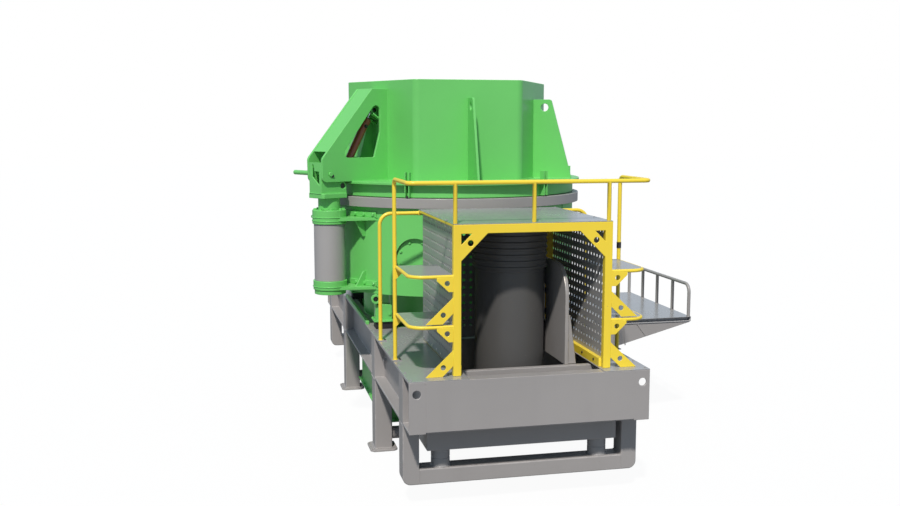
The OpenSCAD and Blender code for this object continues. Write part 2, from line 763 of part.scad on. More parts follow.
module foot_band() {
    difference() {
        polygon([[0, 223], [0, 90], [92, 0], [235, 0]]);
        translate([86, 78]) circle(r = 22);
    }
}
module step_braces() {
    color(yellow) both_ends() translate([guard_off, 0, 0]) both_sides() {
        for (i = [1, 2]) upright(guard_y - brace_t, brace_t)
            translate([guard_x, roof_z - i * step_rise - step_down]) under_gusset();
        for (z = [deck_z, roof_z - 2 * step_rise + step_up]) upright(guard_y - brace_t, brace_t)
            translate([guard_x, z]) foot_band();
    }
}

// ---- side platform ----
plat_x = half_w + platform_w;
plat_y0 = platform_y - platform_l / 2;
plat_y1 = platform_y + platform_l / 2;
module platform_floor() {
    low = platform_z - platform_edge;
    lip = platform_lip;
    color(grey) {
        slab(half_w, plat_x, plat_y0, plat_y1, platform_z - 8, platform_z);
        slab(plat_x - 8, plat_x, plat_y0, plat_y1, low, platform_z);
        for (y = [plat_y0 + lip, plat_y1 - lip - 8]) slab(half_w, plat_x, y, y + 8, low, platform_z);
        for (y = [plat_y0, plat_y1 - lip - 8]) slab(half_w, plat_x, y, y + lip + 8, low, low + 6);
    }
}
module platform_brackets() {
    low = platform_z - platform_edge;
    color(grey) {
        for (y = [plat_y0 + 10, plat_y1 - 22]) upright(y, 12)
            polygon([[half_w, low], [plat_x - 8, low], [plat_x - 8, low - 10], [half_w, frame_bot + 10]]);
        upright(platform_y - 6, 12)
            polygon([[half_w, platform_z - 8], [plat_x - 8, platform_z - 8],
                [plat_x - 8, low - 10], [half_w, frame_bot + 10]]);
    }
}
module platform_rail() {
    r = platform_tube_r;
    x = plat_x - r - 4;
    z = platform_z + platform_rail_h - r;
    b = platform_bend;
    color(grey) {
        tube([x, plat_y0 + r + b, z], [x, plat_y1 - r - b, z], r);
        translate([x, plat_y0 + r + b, z - b]) rotate([90, 0, -90]) elbow(b, r);
        mirror([0, 1, 0]) translate([x, -plat_y1 + r + b, z - b]) rotate([90, 0, -90]) elbow(b, r);
        for (y = [plat_y0 + r, plat_y1 - r]) tube([x, y, platform_z], [x, y, z - b], r);
        for (i = [1:3]) let (y = plat_y0 + r + i * (platform_l - 2 * r) / 4)
            tube([x, y, platform_z], [x, y, z], r);
    }
}

side_beams();
end_beams();
cross_beams();
deck_plates();
legs();
foot_plates();
leg_ties();
end_portals();
buffers();
drive_boxes();
discharge_chute();
base_rails();
foot_pads();
body_feet();
lower_drum();
body_shell();
body_ring();
hatch_cover();
column_brackets();
column_tube();
swing_neck();
pivot_head();
hinge_pin();
barrel_pin();
lift_barrel();
lift_rod();
rod_pin();
arm_plates();
arm_cover();
arm_lugs();
lid_hopper();
lid_disc();
lid_fins();
lid_clamps();
motors();
motor_seats();
guard_frames();
guard_panels();
guard_roofs();
handrails();
steps();
step_braces();
platform_floor();
platform_brackets();
platform_rail();
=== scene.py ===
import bpy
import bmesh
import json
import math
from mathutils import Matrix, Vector

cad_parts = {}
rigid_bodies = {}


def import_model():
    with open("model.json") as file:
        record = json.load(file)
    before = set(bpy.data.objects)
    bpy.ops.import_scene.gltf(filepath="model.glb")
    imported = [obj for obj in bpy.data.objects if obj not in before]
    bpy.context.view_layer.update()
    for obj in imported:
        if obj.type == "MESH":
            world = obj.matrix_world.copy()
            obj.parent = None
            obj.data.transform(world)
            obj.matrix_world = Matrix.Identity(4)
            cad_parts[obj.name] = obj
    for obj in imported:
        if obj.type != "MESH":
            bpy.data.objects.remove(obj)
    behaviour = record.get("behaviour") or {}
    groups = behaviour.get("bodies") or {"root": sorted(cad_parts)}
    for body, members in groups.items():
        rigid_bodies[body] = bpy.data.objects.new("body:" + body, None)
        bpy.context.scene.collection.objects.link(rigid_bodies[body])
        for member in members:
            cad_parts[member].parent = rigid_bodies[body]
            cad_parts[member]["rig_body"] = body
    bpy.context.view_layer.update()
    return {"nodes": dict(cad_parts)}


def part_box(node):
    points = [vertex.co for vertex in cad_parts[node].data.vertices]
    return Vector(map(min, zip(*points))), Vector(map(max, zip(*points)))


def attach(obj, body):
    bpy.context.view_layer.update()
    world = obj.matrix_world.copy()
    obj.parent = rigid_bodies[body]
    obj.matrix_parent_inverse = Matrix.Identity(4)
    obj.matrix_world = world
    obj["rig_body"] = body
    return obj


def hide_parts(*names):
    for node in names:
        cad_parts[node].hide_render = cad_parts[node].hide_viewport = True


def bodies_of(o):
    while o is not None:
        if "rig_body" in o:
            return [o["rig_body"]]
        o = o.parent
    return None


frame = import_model()

# ---- Viewpoint ----
# The machine is seen from its front left corner, from a little above the roof of the guard,
# the way somebody walks up to it across the yard.
viewpoint = bpy.data.objects.new("viewpoint", bpy.data.cameras.new("viewpoint"))
viewpoint.data.lens = 40.25
viewpoint.data.sensor_width = 36.0
viewpoint.data.clip_end = 400.0
viewpoint.location = (-2.478, -11.074, 3.245)
viewpoint.rotation_euler = (math.radians(82.835), 0.0, math.radians(-12.716))
bpy.context.scene.collection.objects.link(viewpoint)
bpy.context.scene.camera = viewpoint

# ---- Studio ----
# A pale poured floor under a plain bright sky. One large soft lamp stands high at the front
# left and throws the shadows back and to the right.
bpy.context.scene.view_settings.view_transform = "Standard"


class Amount:
    """A number that changes over a surface. Sums and products of amounts add their own Math nodes."""

    def __init__(self, bench, socket):
        self.bench = bench
        self.socket = socket

    def joined(self, operation, first, second):
        made = self.bench.node("ShaderNodeMath", {"operation": operation}, {0: first, 1: second})
        return Amount(self.bench, made.outputs[0])

    def __add__(self, other):
        return self.joined("ADD", self, other)

    def __sub__(self, other):
        return self.joined("SUBTRACT", self, other)

    def __rsub__(self, other):
        return self.joined("SUBTRACT", other, self)

    def __mul__(self, other):
        return self.joined("MULTIPLY", self, other)

    __radd__ = __add__
    __rmul__ = __mul__

    def between(self, low, high):
        """0 below low, 1 above high, and a soft step from one to the other."""
        sockets = {"Value": self, "From Min": low, "From Max": high}
        made = self.bench.node("ShaderNodeMapRange", {"interpolation_type": "SMOOTHSTEP"}, sockets)
        return Amount(self.bench, made.outputs[0])


class Bench:
    """A node tree being put together. node() adds one node: its settings first, then its sockets."""

    def __init__(self, tree):
        self.tree = tree

    def node(self, kind, settings=None, sockets=None):
        made = self.tree.nodes.new(kind)
        for name, value in (settings or {}).items():
            setattr(made, name, value)
        for key, value in (sockets or {}).items():
            self.plug(made.inputs[key], value)
        return made

    def result(self, kind, sockets=None, settings=None):
        """The first output of one more node."""
        return self.node(kind, settings, sockets).outputs[0]

    def plug(self, socket, value):
        if isinstance(value, Amount):
            value = value.socket
        if isinstance(value, bpy.types.NodeSocket):
            self.tree.links.new(value, socket)
        else:
            socket.default_value = value


class Finish(Bench):
    """A paint or a bare surface: its nodes, feeding one shader. settled holds plain socket values."""

    def __init__(self, name, settled):
        self.material = bpy.data.materials.new(name)
        self.material.use_nodes = True
        super().__init__(self.material.node_tree)
        self.shader = self.tree.nodes["Principled BSDF"]
        for socket, value in settled.items():
            self.plug(self.shader.inputs[socket], value)
        self.place = self.node("ShaderNodeTexCoord").outputs["Object"]
        self.facing = self.node("ShaderNodeNewGeometry").outputs["Normal"]

    def feed(self, **sockets):
        """Links what varies to the shader: tone, rough, metal, coat and normal."""
        names = {"tone": "Base Color", "rough": "Roughness", "metal": "Metallic"}
        names.update({"coat": "Coat Weight", "normal": "Normal"})
        for key, value in sockets.items():
            self.plug(self.shader.inputs[names[key]], value)

    def cloud(self, scale, detail=3.0, stretch=None):
        """Random cloud around 0.5, scale to the metre; stretch squeezes it along an axis."""
        spot = self.place
        if stretch:
            spot = self.result("ShaderNodeMapping", {"Vector": self.place, "Scale": stretch})
        sockets = {"Vector": spot, "Scale": scale, "Detail": detail}
        return Amount(self, self.result("ShaderNodeTexNoise", sockets))

    def along(self, vector, axis):
        made = self.node("ShaderNodeSeparateXYZ", {}, {0: vector})
        return Amount(self, made.outputs[axis])

    def marked(self, name):
        """What a piece's own mesh says under this name, such as 1 on its rounded edges."""
        made = self.node("ShaderNodeAttribute", {"attribute_name": name})
        return Amount(self, made.outputs["Fac"])

    def mixed(self, share, first, second):
        sockets = {0: share, 6: first, 7: second}
        return self.node("ShaderNodeMix", {"data_type": "RGBA"}, sockets).outputs[2]

    def relief(self, height, distance, under=None):
        sockets = {"Height": height, "Distance": distance, "Strength": 1.0}
        if under is not None:
            sockets["Normal"] = under
        return self.result("ShaderNodeBump", sockets)

    def sprayed(self, colour, worn):
        """The ground of an enamel: how its shade drifts, where its edges are rubbed, and its tone."""
        drift = self.cloud(0.9, 4.0).between(0.25, 0.75)
        rubbed = self.marked("edge") * self.cloud(11.0, 4.0).between(0.42, 0.66) * worn
        return drift, rubbed, self.mixed(drift, tinted(colour, 0.95), tinted(colour, 1.04))

    def peeled(self, skin):
        """The fine orange peel of a sprayed coat, on plate that is never quite flat."""
        return self.relief(self.cloud(2.6, 2.0), 0.003, self.relief(self.cloud(380.0, 2.0), skin))


def tinted(colour, by=1.0):
    """The colour made lighter or darker by a factor."""
    return (min(1.0, colour[0] * by), min(1.0, colour[1] * by), min(1.0, colour[2] * by), 1.0)


FLOOR_HALF = 80.0
FLOOR_COLOUR = (0.30, 0.30, 0.30)
FLOOR_SHARE = 0.85
FLOOR_WHITE = 1.12
floor_mesh = bpy.data.meshes.new("studio_floor")
corners = [(-FLOOR_HALF, -FLOOR_HALF), (FLOOR_HALF, -FLOOR_HALF)]
corners += [(FLOOR_HALF, FLOOR_HALF), (-FLOOR_HALF, FLOOR_HALF)]
floor_mesh.from_pydata([(x, y, -0.002) for x, y in corners], [], [(0, 1, 2, 3)])
studio_floor = bpy.data.objects.new("studio_floor", floor_mesh)
bpy.context.scene.collection.objects.link(studio_floor)
poured = Finish("poured_floor", {"Roughness": 0.9, "Specular IOR Level": 0.1})
speckle = poured.cloud(9.0, 4.0).between(0.3, 0.7)
poured.feed(tone=poured.mixed(speckle, tinted(FLOOR_COLOUR, 0.985), tinted(FLOOR_COLOUR)))
rays = poured.node("ShaderNodeLightPath")
seen = Amount(poured, rays.outputs["Is Camera Ray"]) * FLOOR_SHARE
glow = poured.node("ShaderNodeEmission", {}, {"Color": (1, 1, 1, 1), "Strength": FLOOR_WHITE})
sockets = {0: seen, 1: poured.shader.outputs[0], 2: glow.outputs[0]}
lit_floor = poured.node("ShaderNodeMixShader", {}, sockets)
poured.plug(poured.tree.nodes["Material Output"].inputs["Surface"], lit_floor.outputs[0])
floor_mesh.materials.append(poured.material)

SKY_COLOUR = (0.52, 0.74, 1.0, 1.0)
SKY_STRENGTH = 0.36
MIRRORED_SKY = (0.72, 0.84, 1.0, 1.0)
sky = bpy.data.worlds.new("studio_sky")
sky.use_nodes = True
bpy.context.scene.world = sky
heavens = Bench(sky.node_tree)
rays = heavens.node("ShaderNodeLightPath")
ambient = sky.node_tree.nodes["Background"]
heavens.plug(ambient.inputs["Color"], SKY_COLOUR)
heavens.plug(ambient.inputs["Strength"], SKY_STRENGTH)
mirrored = heavens.node("ShaderNodeBackground", {}, {"Color": MIRRORED_SKY, "Strength": 0.75})
backdrop = heavens.node("ShaderNodeBackground", {}, {"Color": (1, 1, 1, 1), "Strength": 1.0})
sockets = {0: rays.outputs["Is Glossy Ray"], 1: ambient.outputs[0], 2: mirrored.outputs[0]}
reflected = heavens.node("ShaderNodeMixShader", {}, sockets)
sockets = {0: rays.outputs["Is Camera Ray"], 1: reflected.outputs[0], 2: backdrop.outputs[0]}
sky_mix = heavens.node("ShaderNodeMixShader", {}, sockets)
heavens.plug(sky.node_tree.nodes["World Output"].inputs["Surface"], sky_mix.outputs[0])

LAMP_TRAVEL = Vector((0.254, 0.604, -0.755))
lamp = bpy.data.objects.new("main_lamp", bpy.data.lights.new("main_lamp", "SUN"))
lamp.data.energy = 3.30
lamp.data.angle = math.radians(3.0)
lamp.data.color = (1.0, 0.95, 0.90)
lamp.rotation_mode = "QUATERNION"
lamp.rotation_quaternion = LAMP_TRAVEL.to_track_quat("-Z", "Y")
bpy.context.scene.collection.objects.link(lamp)

# ---- Main frame ----
# Two channel side beams, plated end beams and thick cross beams, welded up from burnt plate.
# A thin cover plate closes each end. The edges are ground back and the whole is sprayed in a
# warm grey enamel over primer.
GREY = (0.350, 0.332, 0.322)
PRIMER = (0.30, 0.25, 0.22, 1.0)
DUST = (0.50, 0.48, 0.45, 1.0)


def enamel(name, colour, gloss=0.40, dusty=0.16, worn=0.45, skin=0.00008):
    """Sprayed machine enamel: slow drifts in the shade, dust on what faces up, rubbed edges, chips."""
    paint = Finish(name, {"Specular IOR Level": 0.5, "Coat Roughness": 0.15})
    drift, rubbed, tone = paint.sprayed(colour, worn)
    runs = paint.cloud(5.0, 3.0, (1.0, 1.0, 0.1)).between(0.5, 0.85)
    grit = paint.cloud(46.0, 5.0)
    chips = paint.cloud(64.0, 2.0).between(0.745, 0.755) * paint.cloud(4.0, 2.0).between(0.52, 0.66)
    up = paint.along(paint.facing, 2).between(0.6, 0.98)
    low = 1.0 - paint.along(paint.place, 2).between(0.0, 0.7)
    tone = paint.mixed(runs * 0.10, tone, tinted(colour, 0.65))
    dust = up * (grit.between(0.35, 0.75) * dusty + 0.03) + low * grit * (dusty * 0.5)
    tone = paint.mixed(dust, tone, DUST)
    tone = paint.mixed(rubbed, tone, tinted(colour, 1.35))
    tone = paint.mixed(chips * 0.8, tone, PRIMER)
    rough = drift * 0.08 + dust * 0.35 + rubbed * 0.15 + chips * 0.2 + gloss
    chipped = paint.relief(1.0 - chips, 0.0004, paint.peeled(skin))
    paint.feed(tone=tone, rough=rough, coat=0.16 - dust * 0.16, normal=chipped)
    return paint.material


def body_of(node):
    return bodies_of(frame["nodes"][node])[0]


def meshed(work, name, outward=True):
    """A mesh being made, handed over as a plain mesh; outward turns all its faces out first."""
    if outward:
        bmesh.ops.recalc_face_normals(work, faces=work.faces)
    mesh = bpy.data.meshes.new(name)
    work.to_mesh(mesh)
    work.free()
    return mesh


def plain(owner, name):
    """An object's mesh with its modifiers applied, as a new plain object at the origin."""
    graph = bpy.context.evaluated_depsgraph_get()
    mesh = bpy.data.meshes.new_from_object(owner.evaluated_get(graph), depsgraph=graph)
    mesh.name = name
    owner.modifiers.clear()
    bpy.data.objects.remove(owner)
    made = bpy.data.objects.new(name, mesh)
    bpy.context.scene.collection.objects.link(made)
    return made


def finished(piece, body, coat, nodes=()):
    """The last step for every piece. A coat is a paint and the slot of the record it belongs to; the
    slot is not used.
    """
    paint, slot = coat
    piece.data.materials.clear()
    piece.data.materials.append(paint)
    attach(piece, body)
    if nodes:
        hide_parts(*nodes)
    return piece


def rounded_off(name, mesh, round_by, sharp=38.0, steps=2):
    """The mesh with every sharp edge rounded, even shading, and its round edges marked as edge."""
    mesh.shade_smooth()
    mesh.set_sharp_from_angle(angle=math.radians(sharp))
    owner = bpy.data.objects.new(name + "_work", mesh)
    bpy.context.scene.collection.objects.link(owner)
    mesh.materials.clear()
    for _ in range(2):
        mesh.materials.append(None)
    if round_by > 0:
        rounding = owner.modifiers.new("rounding", "BEVEL")
        rounding.width = round_by
        rounding.segments = steps
        rounding.limit_method = "ANGLE"
        rounding.angle_limit = math.radians(sharp)
        rounding.use_clamp_overlap = False
        rounding.material = 1
    owner.modifiers.new("even", "WEIGHTED_NORMAL").keep_sharp = True
    piece = plain(owner, name)
    near_edge = piece.data.attributes.new("edge", "FLOAT", "FACE")
    for face in piece.data.polygons:
        near_edge.data[face.index].value = float(face.material_index == 1)
        face.material_index = 0
    return piece


def welded(node, coat, round_by=0.004, steps=2, sharp=38.0, reshape=None):
    """A plate piece with its cut edges broken: the plain part, merged, and every edge rounded."""
    work = bmesh.new()
    work.from_mesh(frame["nodes"][node].data)
    bmesh.ops.remove_doubles(work, verts=work.verts, dist=0.00002)
    if reshape:
        reshape(work)
    flat = math.radians(0.4)
    bmesh.ops.dissolve_limit(work, angle_limit=flat, verts=work.verts, edges=work.edges)
    mesh = meshed(work, node + "_work", False)
    piece = rounded_off(node + "_piece", mesh, round_by, sharp, steps)
    return finished(piece, body_of(node), coat, [node])


frame_grey = (enamel("frame_grey_enamel", GREY), "frame_grey")
for node in ("side_beams", "cross_beams", "end_beams"):
    welded(node, frame_grey)
end_low, end_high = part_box("end_beams")
COVER_HALF = 0.909
COVER_PROUD = 0.003
COVER_LIFT = 0.014
COVER_SHY = 0.001


def slab_of(work, outline, low, high):
    """A flat plate of the given outline between two heights, added to the mesh being made."""
    rows = [[work.verts.new((x, y, z)) for x, y in outline] for z in (low, high)]
    work.faces.new(rows[0][::-1])
    work.faces.new(rows[1])
    for first in range(len(outline)):
        after = (first + 1) % len(outline)
        work.faces.new([rows[0][first], rows[0][after], rows[1][after], rows[1][first]])


def handed_over(name, work, coat, round_by, nodes=()):
    """A piece of the frame from a mesh being made: its edges rounded, and painted."""
    return finished(rounded_off(name, meshed(work, name), round_by), "frame", coat, nodes)


covers = bmesh.new()
for end in (-1, 1):
    back = end * end_high[1]
    front = end * (end_high[1] + COVER_PROUD)
    outline = [(-COVER_HALF, back), (COVER_HALF, back), (COVER_HALF, front), (-COVER_HALF, front)]
    slab_of(covers, outline, end_low[2] + COVER_LIFT, end_high[2] - COVER_SHY)
handed_over("end_covers", covers, frame_grey, 0.001)


class Recipe(Bench):
    """A Geometry Nodes tree with named inputs. cooked() runs it on a mesh and keeps the result."""

    def __init__(self, name, **inputs):
        super().__init__(bpy.data.node_groups.new(name, "GeometryNodeTree"))
        face = self.tree.interface
        face.new_socket("Geometry", in_out="OUTPUT", socket_type="NodeSocketGeometry")
        self.known = {}
        for label, kind in {"Geometry": "Geometry", **inputs, "Paint": "Material"}.items():
            made = face.new_socket(label, in_out="INPUT", socket_type="NodeSocket" + kind)
            self.known[label] = made.identifier
        self.start = self.node("NodeGroupInput")

    def given(self, label):
        return Amount(self, self.start.outputs[label])

    def bent(self):
        """The edges given, as a path with its corners bent round."""
        path = self.result("GeometryNodeMeshToCurve", {0: self.start.outputs[0]})
        sockets = {"Curve": path, "Radius": self.given("Bend"), "Limit Radius": True, "Count": 8}
        return self.result("GeometryNodeFilletCurve", sockets, {"mode": "POLY"})

    def string(self, path, sides):
        """The path thickened to a round string with closed ends."""
        sockets = {"Resolution": sides, "Radius": self.given("Radius")}
        ring = self.result("GeometryNodeCurvePrimitiveCircle", sockets)
        sockets = {"Curve": path, "Profile Curve": ring, "Fill Caps": True}
        return self.node("GeometryNodeCurveToMesh", {}, sockets)

    def joined(self, *parts):
        """Several geometries as one."""
        together = self.node("GeometryNodeJoinGeometry")
        for part in parts:
            self.tree.links.new(part, together.inputs[0])
        return together.outputs[0]

    def moved(self, geometry, axis, amount):
        """A geometry moved along one axis."""
        way = self.result("ShaderNodeCombineXYZ", {axis: amount})
        return self.result("GeometryNodeTransform", {0: geometry, "Translation": way})

    def served(self, geometry):
        """The end of every tree: instances made real, and painted."""
        real = self.result("GeometryNodeRealizeInstances", {0: geometry})
        sockets = {"Geometry": real, "Material": self.start.outputs["Paint"]}
        painted = self.result("GeometryNodeSetMaterial", sockets)
        self.node("NodeGroupOutput", {}, {0: painted})

    def cooked(self, name, mesh, **values):
        owner = bpy.data.objects.new(name + "_work", mesh)
        bpy.context.scene.collection.objects.link(owner)
        modifier = owner.modifiers.new("recipe", "NODES")
        modifier.node_group = self.tree
        for label, value in values.items():
            modifier[self.known[label]] = value
        return plain(owner, name)


# A bead of weld: a path followed by a thick round string whose radius swells and shrinks.
bead = Recipe("weld_bead", Radius="Float", Bend="Float", Pitch="Float")
sockets = {"Curve": bead.bent(), "Length": bead.given("Pitch")}
path = bead.result("GeometryNodeResampleCurve", sockets, {"mode": "LENGTH"})
turn = Amount(bead, bead.result("GeometryNodeInputIndex"))
swell = turn.joined("SINE", turn * 2.2, 0.0) * 0.16 + 1.0
path = bead.result("GeometryNodeSetCurveRadius", {"Curve": path, "Radius": swell})
string = bead.string(path, 7)
bead.plug(string.inputs["Scale"], swell)
bead.served(string.outputs[0])


def lines(name, paths, closed=False):
    """A mesh of nothing but edges: one string of them for each path."""
    points = []
    edges = []
    for path in paths:
        first = len(points)
        points += [tuple(p) for p in path]
        edges += [(first + i, first + i + 1) for i in range(len(path) - 1)]
        if closed:
            edges.append((len(points) - 1, first))
    mesh = bpy.data.meshes.new(name)
    mesh.from_pydata(points, edges, [])
    return mesh


def weld(name, coat, paths, radius=0.006, body="frame"):
    """Weld beads laid along the paths, sprayed over with the rest."""
    values = {"Radius": radius, "Bend": 0.0, "Pitch": radius * 1.6, "Paint": coat[0]}
    piece = bead.cooked(name, lines(name, paths), **values)
    piece.data.shade_smooth()
    return finished(piece, body, coat)


low_corner, high_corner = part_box("side_beams")
frame_half = high_corner[0]
FLANGE_WIDE = 0.120
FLANGE_THICK = 0.024
WEB_THICK = 0.014
STIFFENER_FACES = (1.118, 1.332, 2.725, 2.939)
web_out = frame_half - FLANGE_WIDE + WEB_THICK
stiffener_seams = []
for side in (-1, 1):
    for end in (-1, 1):
        for face in STIFFENER_FACES:
            x = side * (web_out + 0.001)
            foot = (x, end * face, low_corner[2] + FLANGE_THICK)
            stiffener_seams.append([foot, (x, end * face, high_corner[2] - FLANGE_THICK)])
weld("side_beam_welds", frame_grey, stiffener_seams)

# A hexagon screw: a washer, a six-sided head and its crown, each turned a little from the last.
hex_bolts = Recipe("hex_bolts", Across="Float", Head="Float")
half_across = hex_bolts.given("Across") * 0.577
head = hex_bolts.given("Head")
sockets = {"Vertices": 6, "Radius": half_across, "Depth": head * 0.8}
hexagon = hex_bolts.moved(hex_bolts.result("GeometryNodeMeshCylinder", sockets), 2, head * 0.6)
sockets = {"Vertices": 6, "Radius Top": half_across * 0.8, "Radius Bottom": half_across}
sockets["Depth"] = head * 0.2
crown = hex_bolts.moved(hex_bolts.result("GeometryNodeMeshCone", sockets), 2, head)
sockets = {"Vertices": 20, "Radius": half_across * 1.35, "Depth": head * 0.2}
washer = hex_bolts.moved(hex_bolts.result("GeometryNodeMeshCylinder", sockets), 2, head * 0.1)
settings = {"data_type": "FLOAT_VECTOR"}
outward = hex_bolts.result("GeometryNodeInputNamedAttribute", {"Name": "outward"}, settings)
aim = hex_bolts.result("FunctionNodeAlignRotationToVector", {"Vector": outward}, {"axis": "Z"})
number = Amount(hex_bolts, hex_bolts.result("GeometryNodeInputIndex"))
spin = hex_bolts.result("FunctionNodeAxisAngleToRotation", {"Angle": number * 1.9})
sockets = {"Rotation": aim, "Rotate By": spin}
aim = hex_bolts.result("FunctionNodeRotateRotation", sockets, {"rotation_space": "LOCAL"})
sockets = {"Points": hex_bolts.start.outputs[0], "Instance": hex_bolts.joined(hexagon, crown, washer)}
sockets["Rotation"] = aim
hex_bolts.served(hex_bolts.result("GeometryNodeInstanceOnPoints", sockets))


def bolted(name, coat, spots, across, head, body="frame"):
    """A hexagon head and washer at each spot; a spot is a place and the way the head faces."""
    mesh = bpy.data.meshes.new(name)
    mesh.from_pydata([tuple(place) for place, _ in spots], [], [])
    facing = mesh.attributes.new("outward", "FLOAT_VECTOR", "POINT")
    for number, (_, way) in enumerate(spots):
        facing.data[number].vector = way
    piece = hex_bolts.cooked(name, mesh, Across=across, Head=head, Paint=coat[0])
    return finished(piece, body, coat)


def mirrored_spots(x, y, z, way):
    """One spot repeated at both ends of the machine, and on both sides of it."""
    spots = []
    for end in (-1, 1):
        for side in (-1, 1):
            spots.append(((side * x, end * y, z), (side * way[0], end * way[1], way[2])))
    return spots


def both_ends(x, y, z, way):
    """One spot repeated at both ends of the machine, facing the same way."""
    return [((x, end * y, z), way) for end in (-1, 1)]


STUD_ALONG = 1.41
STUD_HEIGHT = 0.946
studs = mirrored_spots(web_out, STUD_ALONG, STUD_HEIGHT, (1, 0, 0))
bolted("side_beam_studs", frame_grey, studs, 0.036, 0.028)

# ---- Deck plates ----
# Four long strips of 6 mm plate laid on the frame beside the guards, sprayed in a like grey
# but left glossy, and held down with small hexagon screws.
DECK_COLOUR = (0.345, 0.345, 0.350)
deck_grey = (enamel("deck_grey_enamel", DECK_COLOUR, 0.20, 0.04, 0.3, 0.00002), "deck_grey")
DECK_INNER = 0.540
DECK_RIGHT = 0.638


def opened(work):
    """The right-hand strips, trimmed to the guard's side so that the seat's well stays open."""
    for vert in work.verts:
        if abs(vert.co.x - DECK_INNER) < 0.001:
            vert.co.x = DECK_RIGHT


welded("deck_plates", deck_grey, 0.0015, reshape=opened)
deck_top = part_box("deck_plates")[1][2]
UP = Vector((0, 0, 1))
DECK_SCREWS_ALONG = (1.12, 1.42, 2.02, 2.32, 2.62, 2.92, 3.18)
deck_screws = []
for along in DECK_SCREWS_ALONG:
    deck_screws += mirrored_spots(frame_half - 0.025, along, deck_top, UP)
bolted("deck_screws", deck_grey, deck_screws, 0.016, 0.006)

# ---- Legs and feet ----
# Four legs of square hollow section stand on thick foot plates with cropped corners. A round
# tube ties each pair together near the ground. All of it is welded to the frame.
welded("legs", frame_grey, 0.010, 3)
welded("foot_plates", frame_grey, 0.003)
welded("leg_ties", frame_grey, 0.0)
plate_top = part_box("foot_plates")[1][2]
LEG_WIDE = 0.175
LEG_FACES = (1.125, 1.325)
RING_STEPS = 24
rings = []
for side in (-1, 1):
    for end in (-1, 1):
        inner, outer = side * (frame_half - LEG_WIDE), side * frame_half
        near, far = end * LEG_FACES[0], end * LEG_FACES[1]
        for z in (plate_top + 0.002, low_corner[2] - 0.002):
            rings.append([(inner, near, z), (outer, near, z), (outer, far, z), (inner, far, z)])


def looped(paths):
    """Each path closed with its own first point."""
    return [list(path) + [path[0]] for path in paths]


weld("leg_welds", frame_grey, looped(rings), 0.007)
tie_low, tie_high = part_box("leg_ties")
tie_radius = (tie_high[2] - tie_low[2]) / 2
rings = []
for x in (tie_low[0] + 0.002, tie_high[0] - 0.002):
    for y in (tie_high[1] - tie_radius, tie_low[1] + tie_radius):
        ring = []
        for step in range(RING_STEPS):
            turn = math.tau * step / RING_STEPS
            across = tie_radius * math.cos(turn)
            ring.append((x, y + across, tie_low[2] + tie_radius * (1 + math.sin(turn))))
        rings.append(ring)
weld("tie_welds", frame_grey, looped(rings), 0.006)

# ---- End portals and buffers ----
# A portal of bent hollow section hangs under each end of the frame, its corners bent to a
# generous radius. Round buffer cans stand on it and carry the drive box above.
welded("end_portals", frame_grey, 0.010, 3)
portal_low, portal_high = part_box("end_portals")
portal_half = (portal_high[0] - portal_low[0]) / 2
PORTAL_TUBE = 0.144
PORTAL_FACES = (0.0005, 0.1855)
joints = []
for end in (-1, 1):
    for side in (-1, 1):
        x = portal_high[0] - portal_half + side * (portal_half - PORTAL_TUBE)
        for inward in PORTAL_FACES:
            y = end * (portal_high[1] - inward)
            joints.append([(x, y, portal_low[2] + 0.004), (x, y, portal_low[2] + 0.136)])
weld("portal_welds", frame_grey, joints, 0.004)


def turned(profile, centres, turns=64, tilt=None):
    """A lathe-turned mesh: profile gives (radius, height) up the axis, set down at each centre."""
    work = bmesh.new()
    for centre in centres:
        rows = []
        for radius, height in profile:
            row = []
            count = turns if radius > 0.0001 else 1
            for step in range(count):
                turn = math.tau * step / turns
                spot = Vector((radius * math.cos(turn), radius * math.sin(turn), height))
                if tilt:
                    spot = tilt @ spot
                row.append(work.verts.new(spot + Vector(centre)))
            rows.append(row)
        for lower, upper in zip(rows, rows[1:]):
            for step in range(turns):
                after = (step + 1) % turns
                ring = [lower[step % len(lower)], lower[after % len(lower)]]
                ring += [upper[after % len(upper)], upper[step % len(upper)]]
                corners = list(dict.fromkeys(ring))
                if len(corners) > 2:
                    work.faces.new(corners)
        for row, flip in ((rows[0], True), (rows[-1], False)):
            if len(row) > 1:
                work.faces.new(row[::-1] if flip else row)
    return meshed(work, "turned")


def round_path(radius, z, centre=(0.0, 0.0), steps=96, start=0.0, stop=360.0):
    """Points on a level circle, or on a part of one."""
    points = []
    for step in range(steps + 1):
        turn = math.radians(start + (stop - start) * step / steps)
        x = centre[0] + radius * math.cos(turn)
        points.append((x, centre[1] + radius * math.sin(turn), z))
    return points


can_low, can_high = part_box("buffers")
CAN_RADIUS = 0.086
CAN_SLIM = 0.082
can_centres = []
for end in (-1, 1):
    for x in (can_low[0] + CAN_RADIUS, can_high[0] - CAN_RADIUS):
        can_centres.append((x, end * (can_high[1] - CAN_RADIUS), can_low[2]))
can_tall = can_high[2] - can_low[2]
can_profile = [(CAN_RADIUS, 0.0), (CAN_RADIUS, 0.012), (CAN_SLIM, 0.014)]
can_profile += [(CAN_SLIM, can_tall * 0.5 - 0.006), (CAN_RADIUS - 0.009, can_tall * 0.5)]
can_profile += [(CAN_SLIM, can_tall * 0.5 + 0.006), (CAN_SLIM, can_tall - 0.014)]
can_profile += [(CAN_RADIUS, can_tall - 0.012), (CAN_RADIUS, can_tall)]
cans = rounded_off("buffer_cans", turned(can_profile, can_centres), 0.0015, 25.0)
buffer_grey = (enamel("buffer_grey_enamel", (0.330, 0.320, 0.315), 0.45), "buffer_rubber")
finished(cans, "frame", buffer_grey, ["buffers"])
rings = []
for centre in can_centres:
    rings.append(round_path(CAN_RADIUS + 0.001, can_low[2] + 0.002, centre, RING_STEPS))
weld("buffer_welds", frame_grey, rings, 0.005)

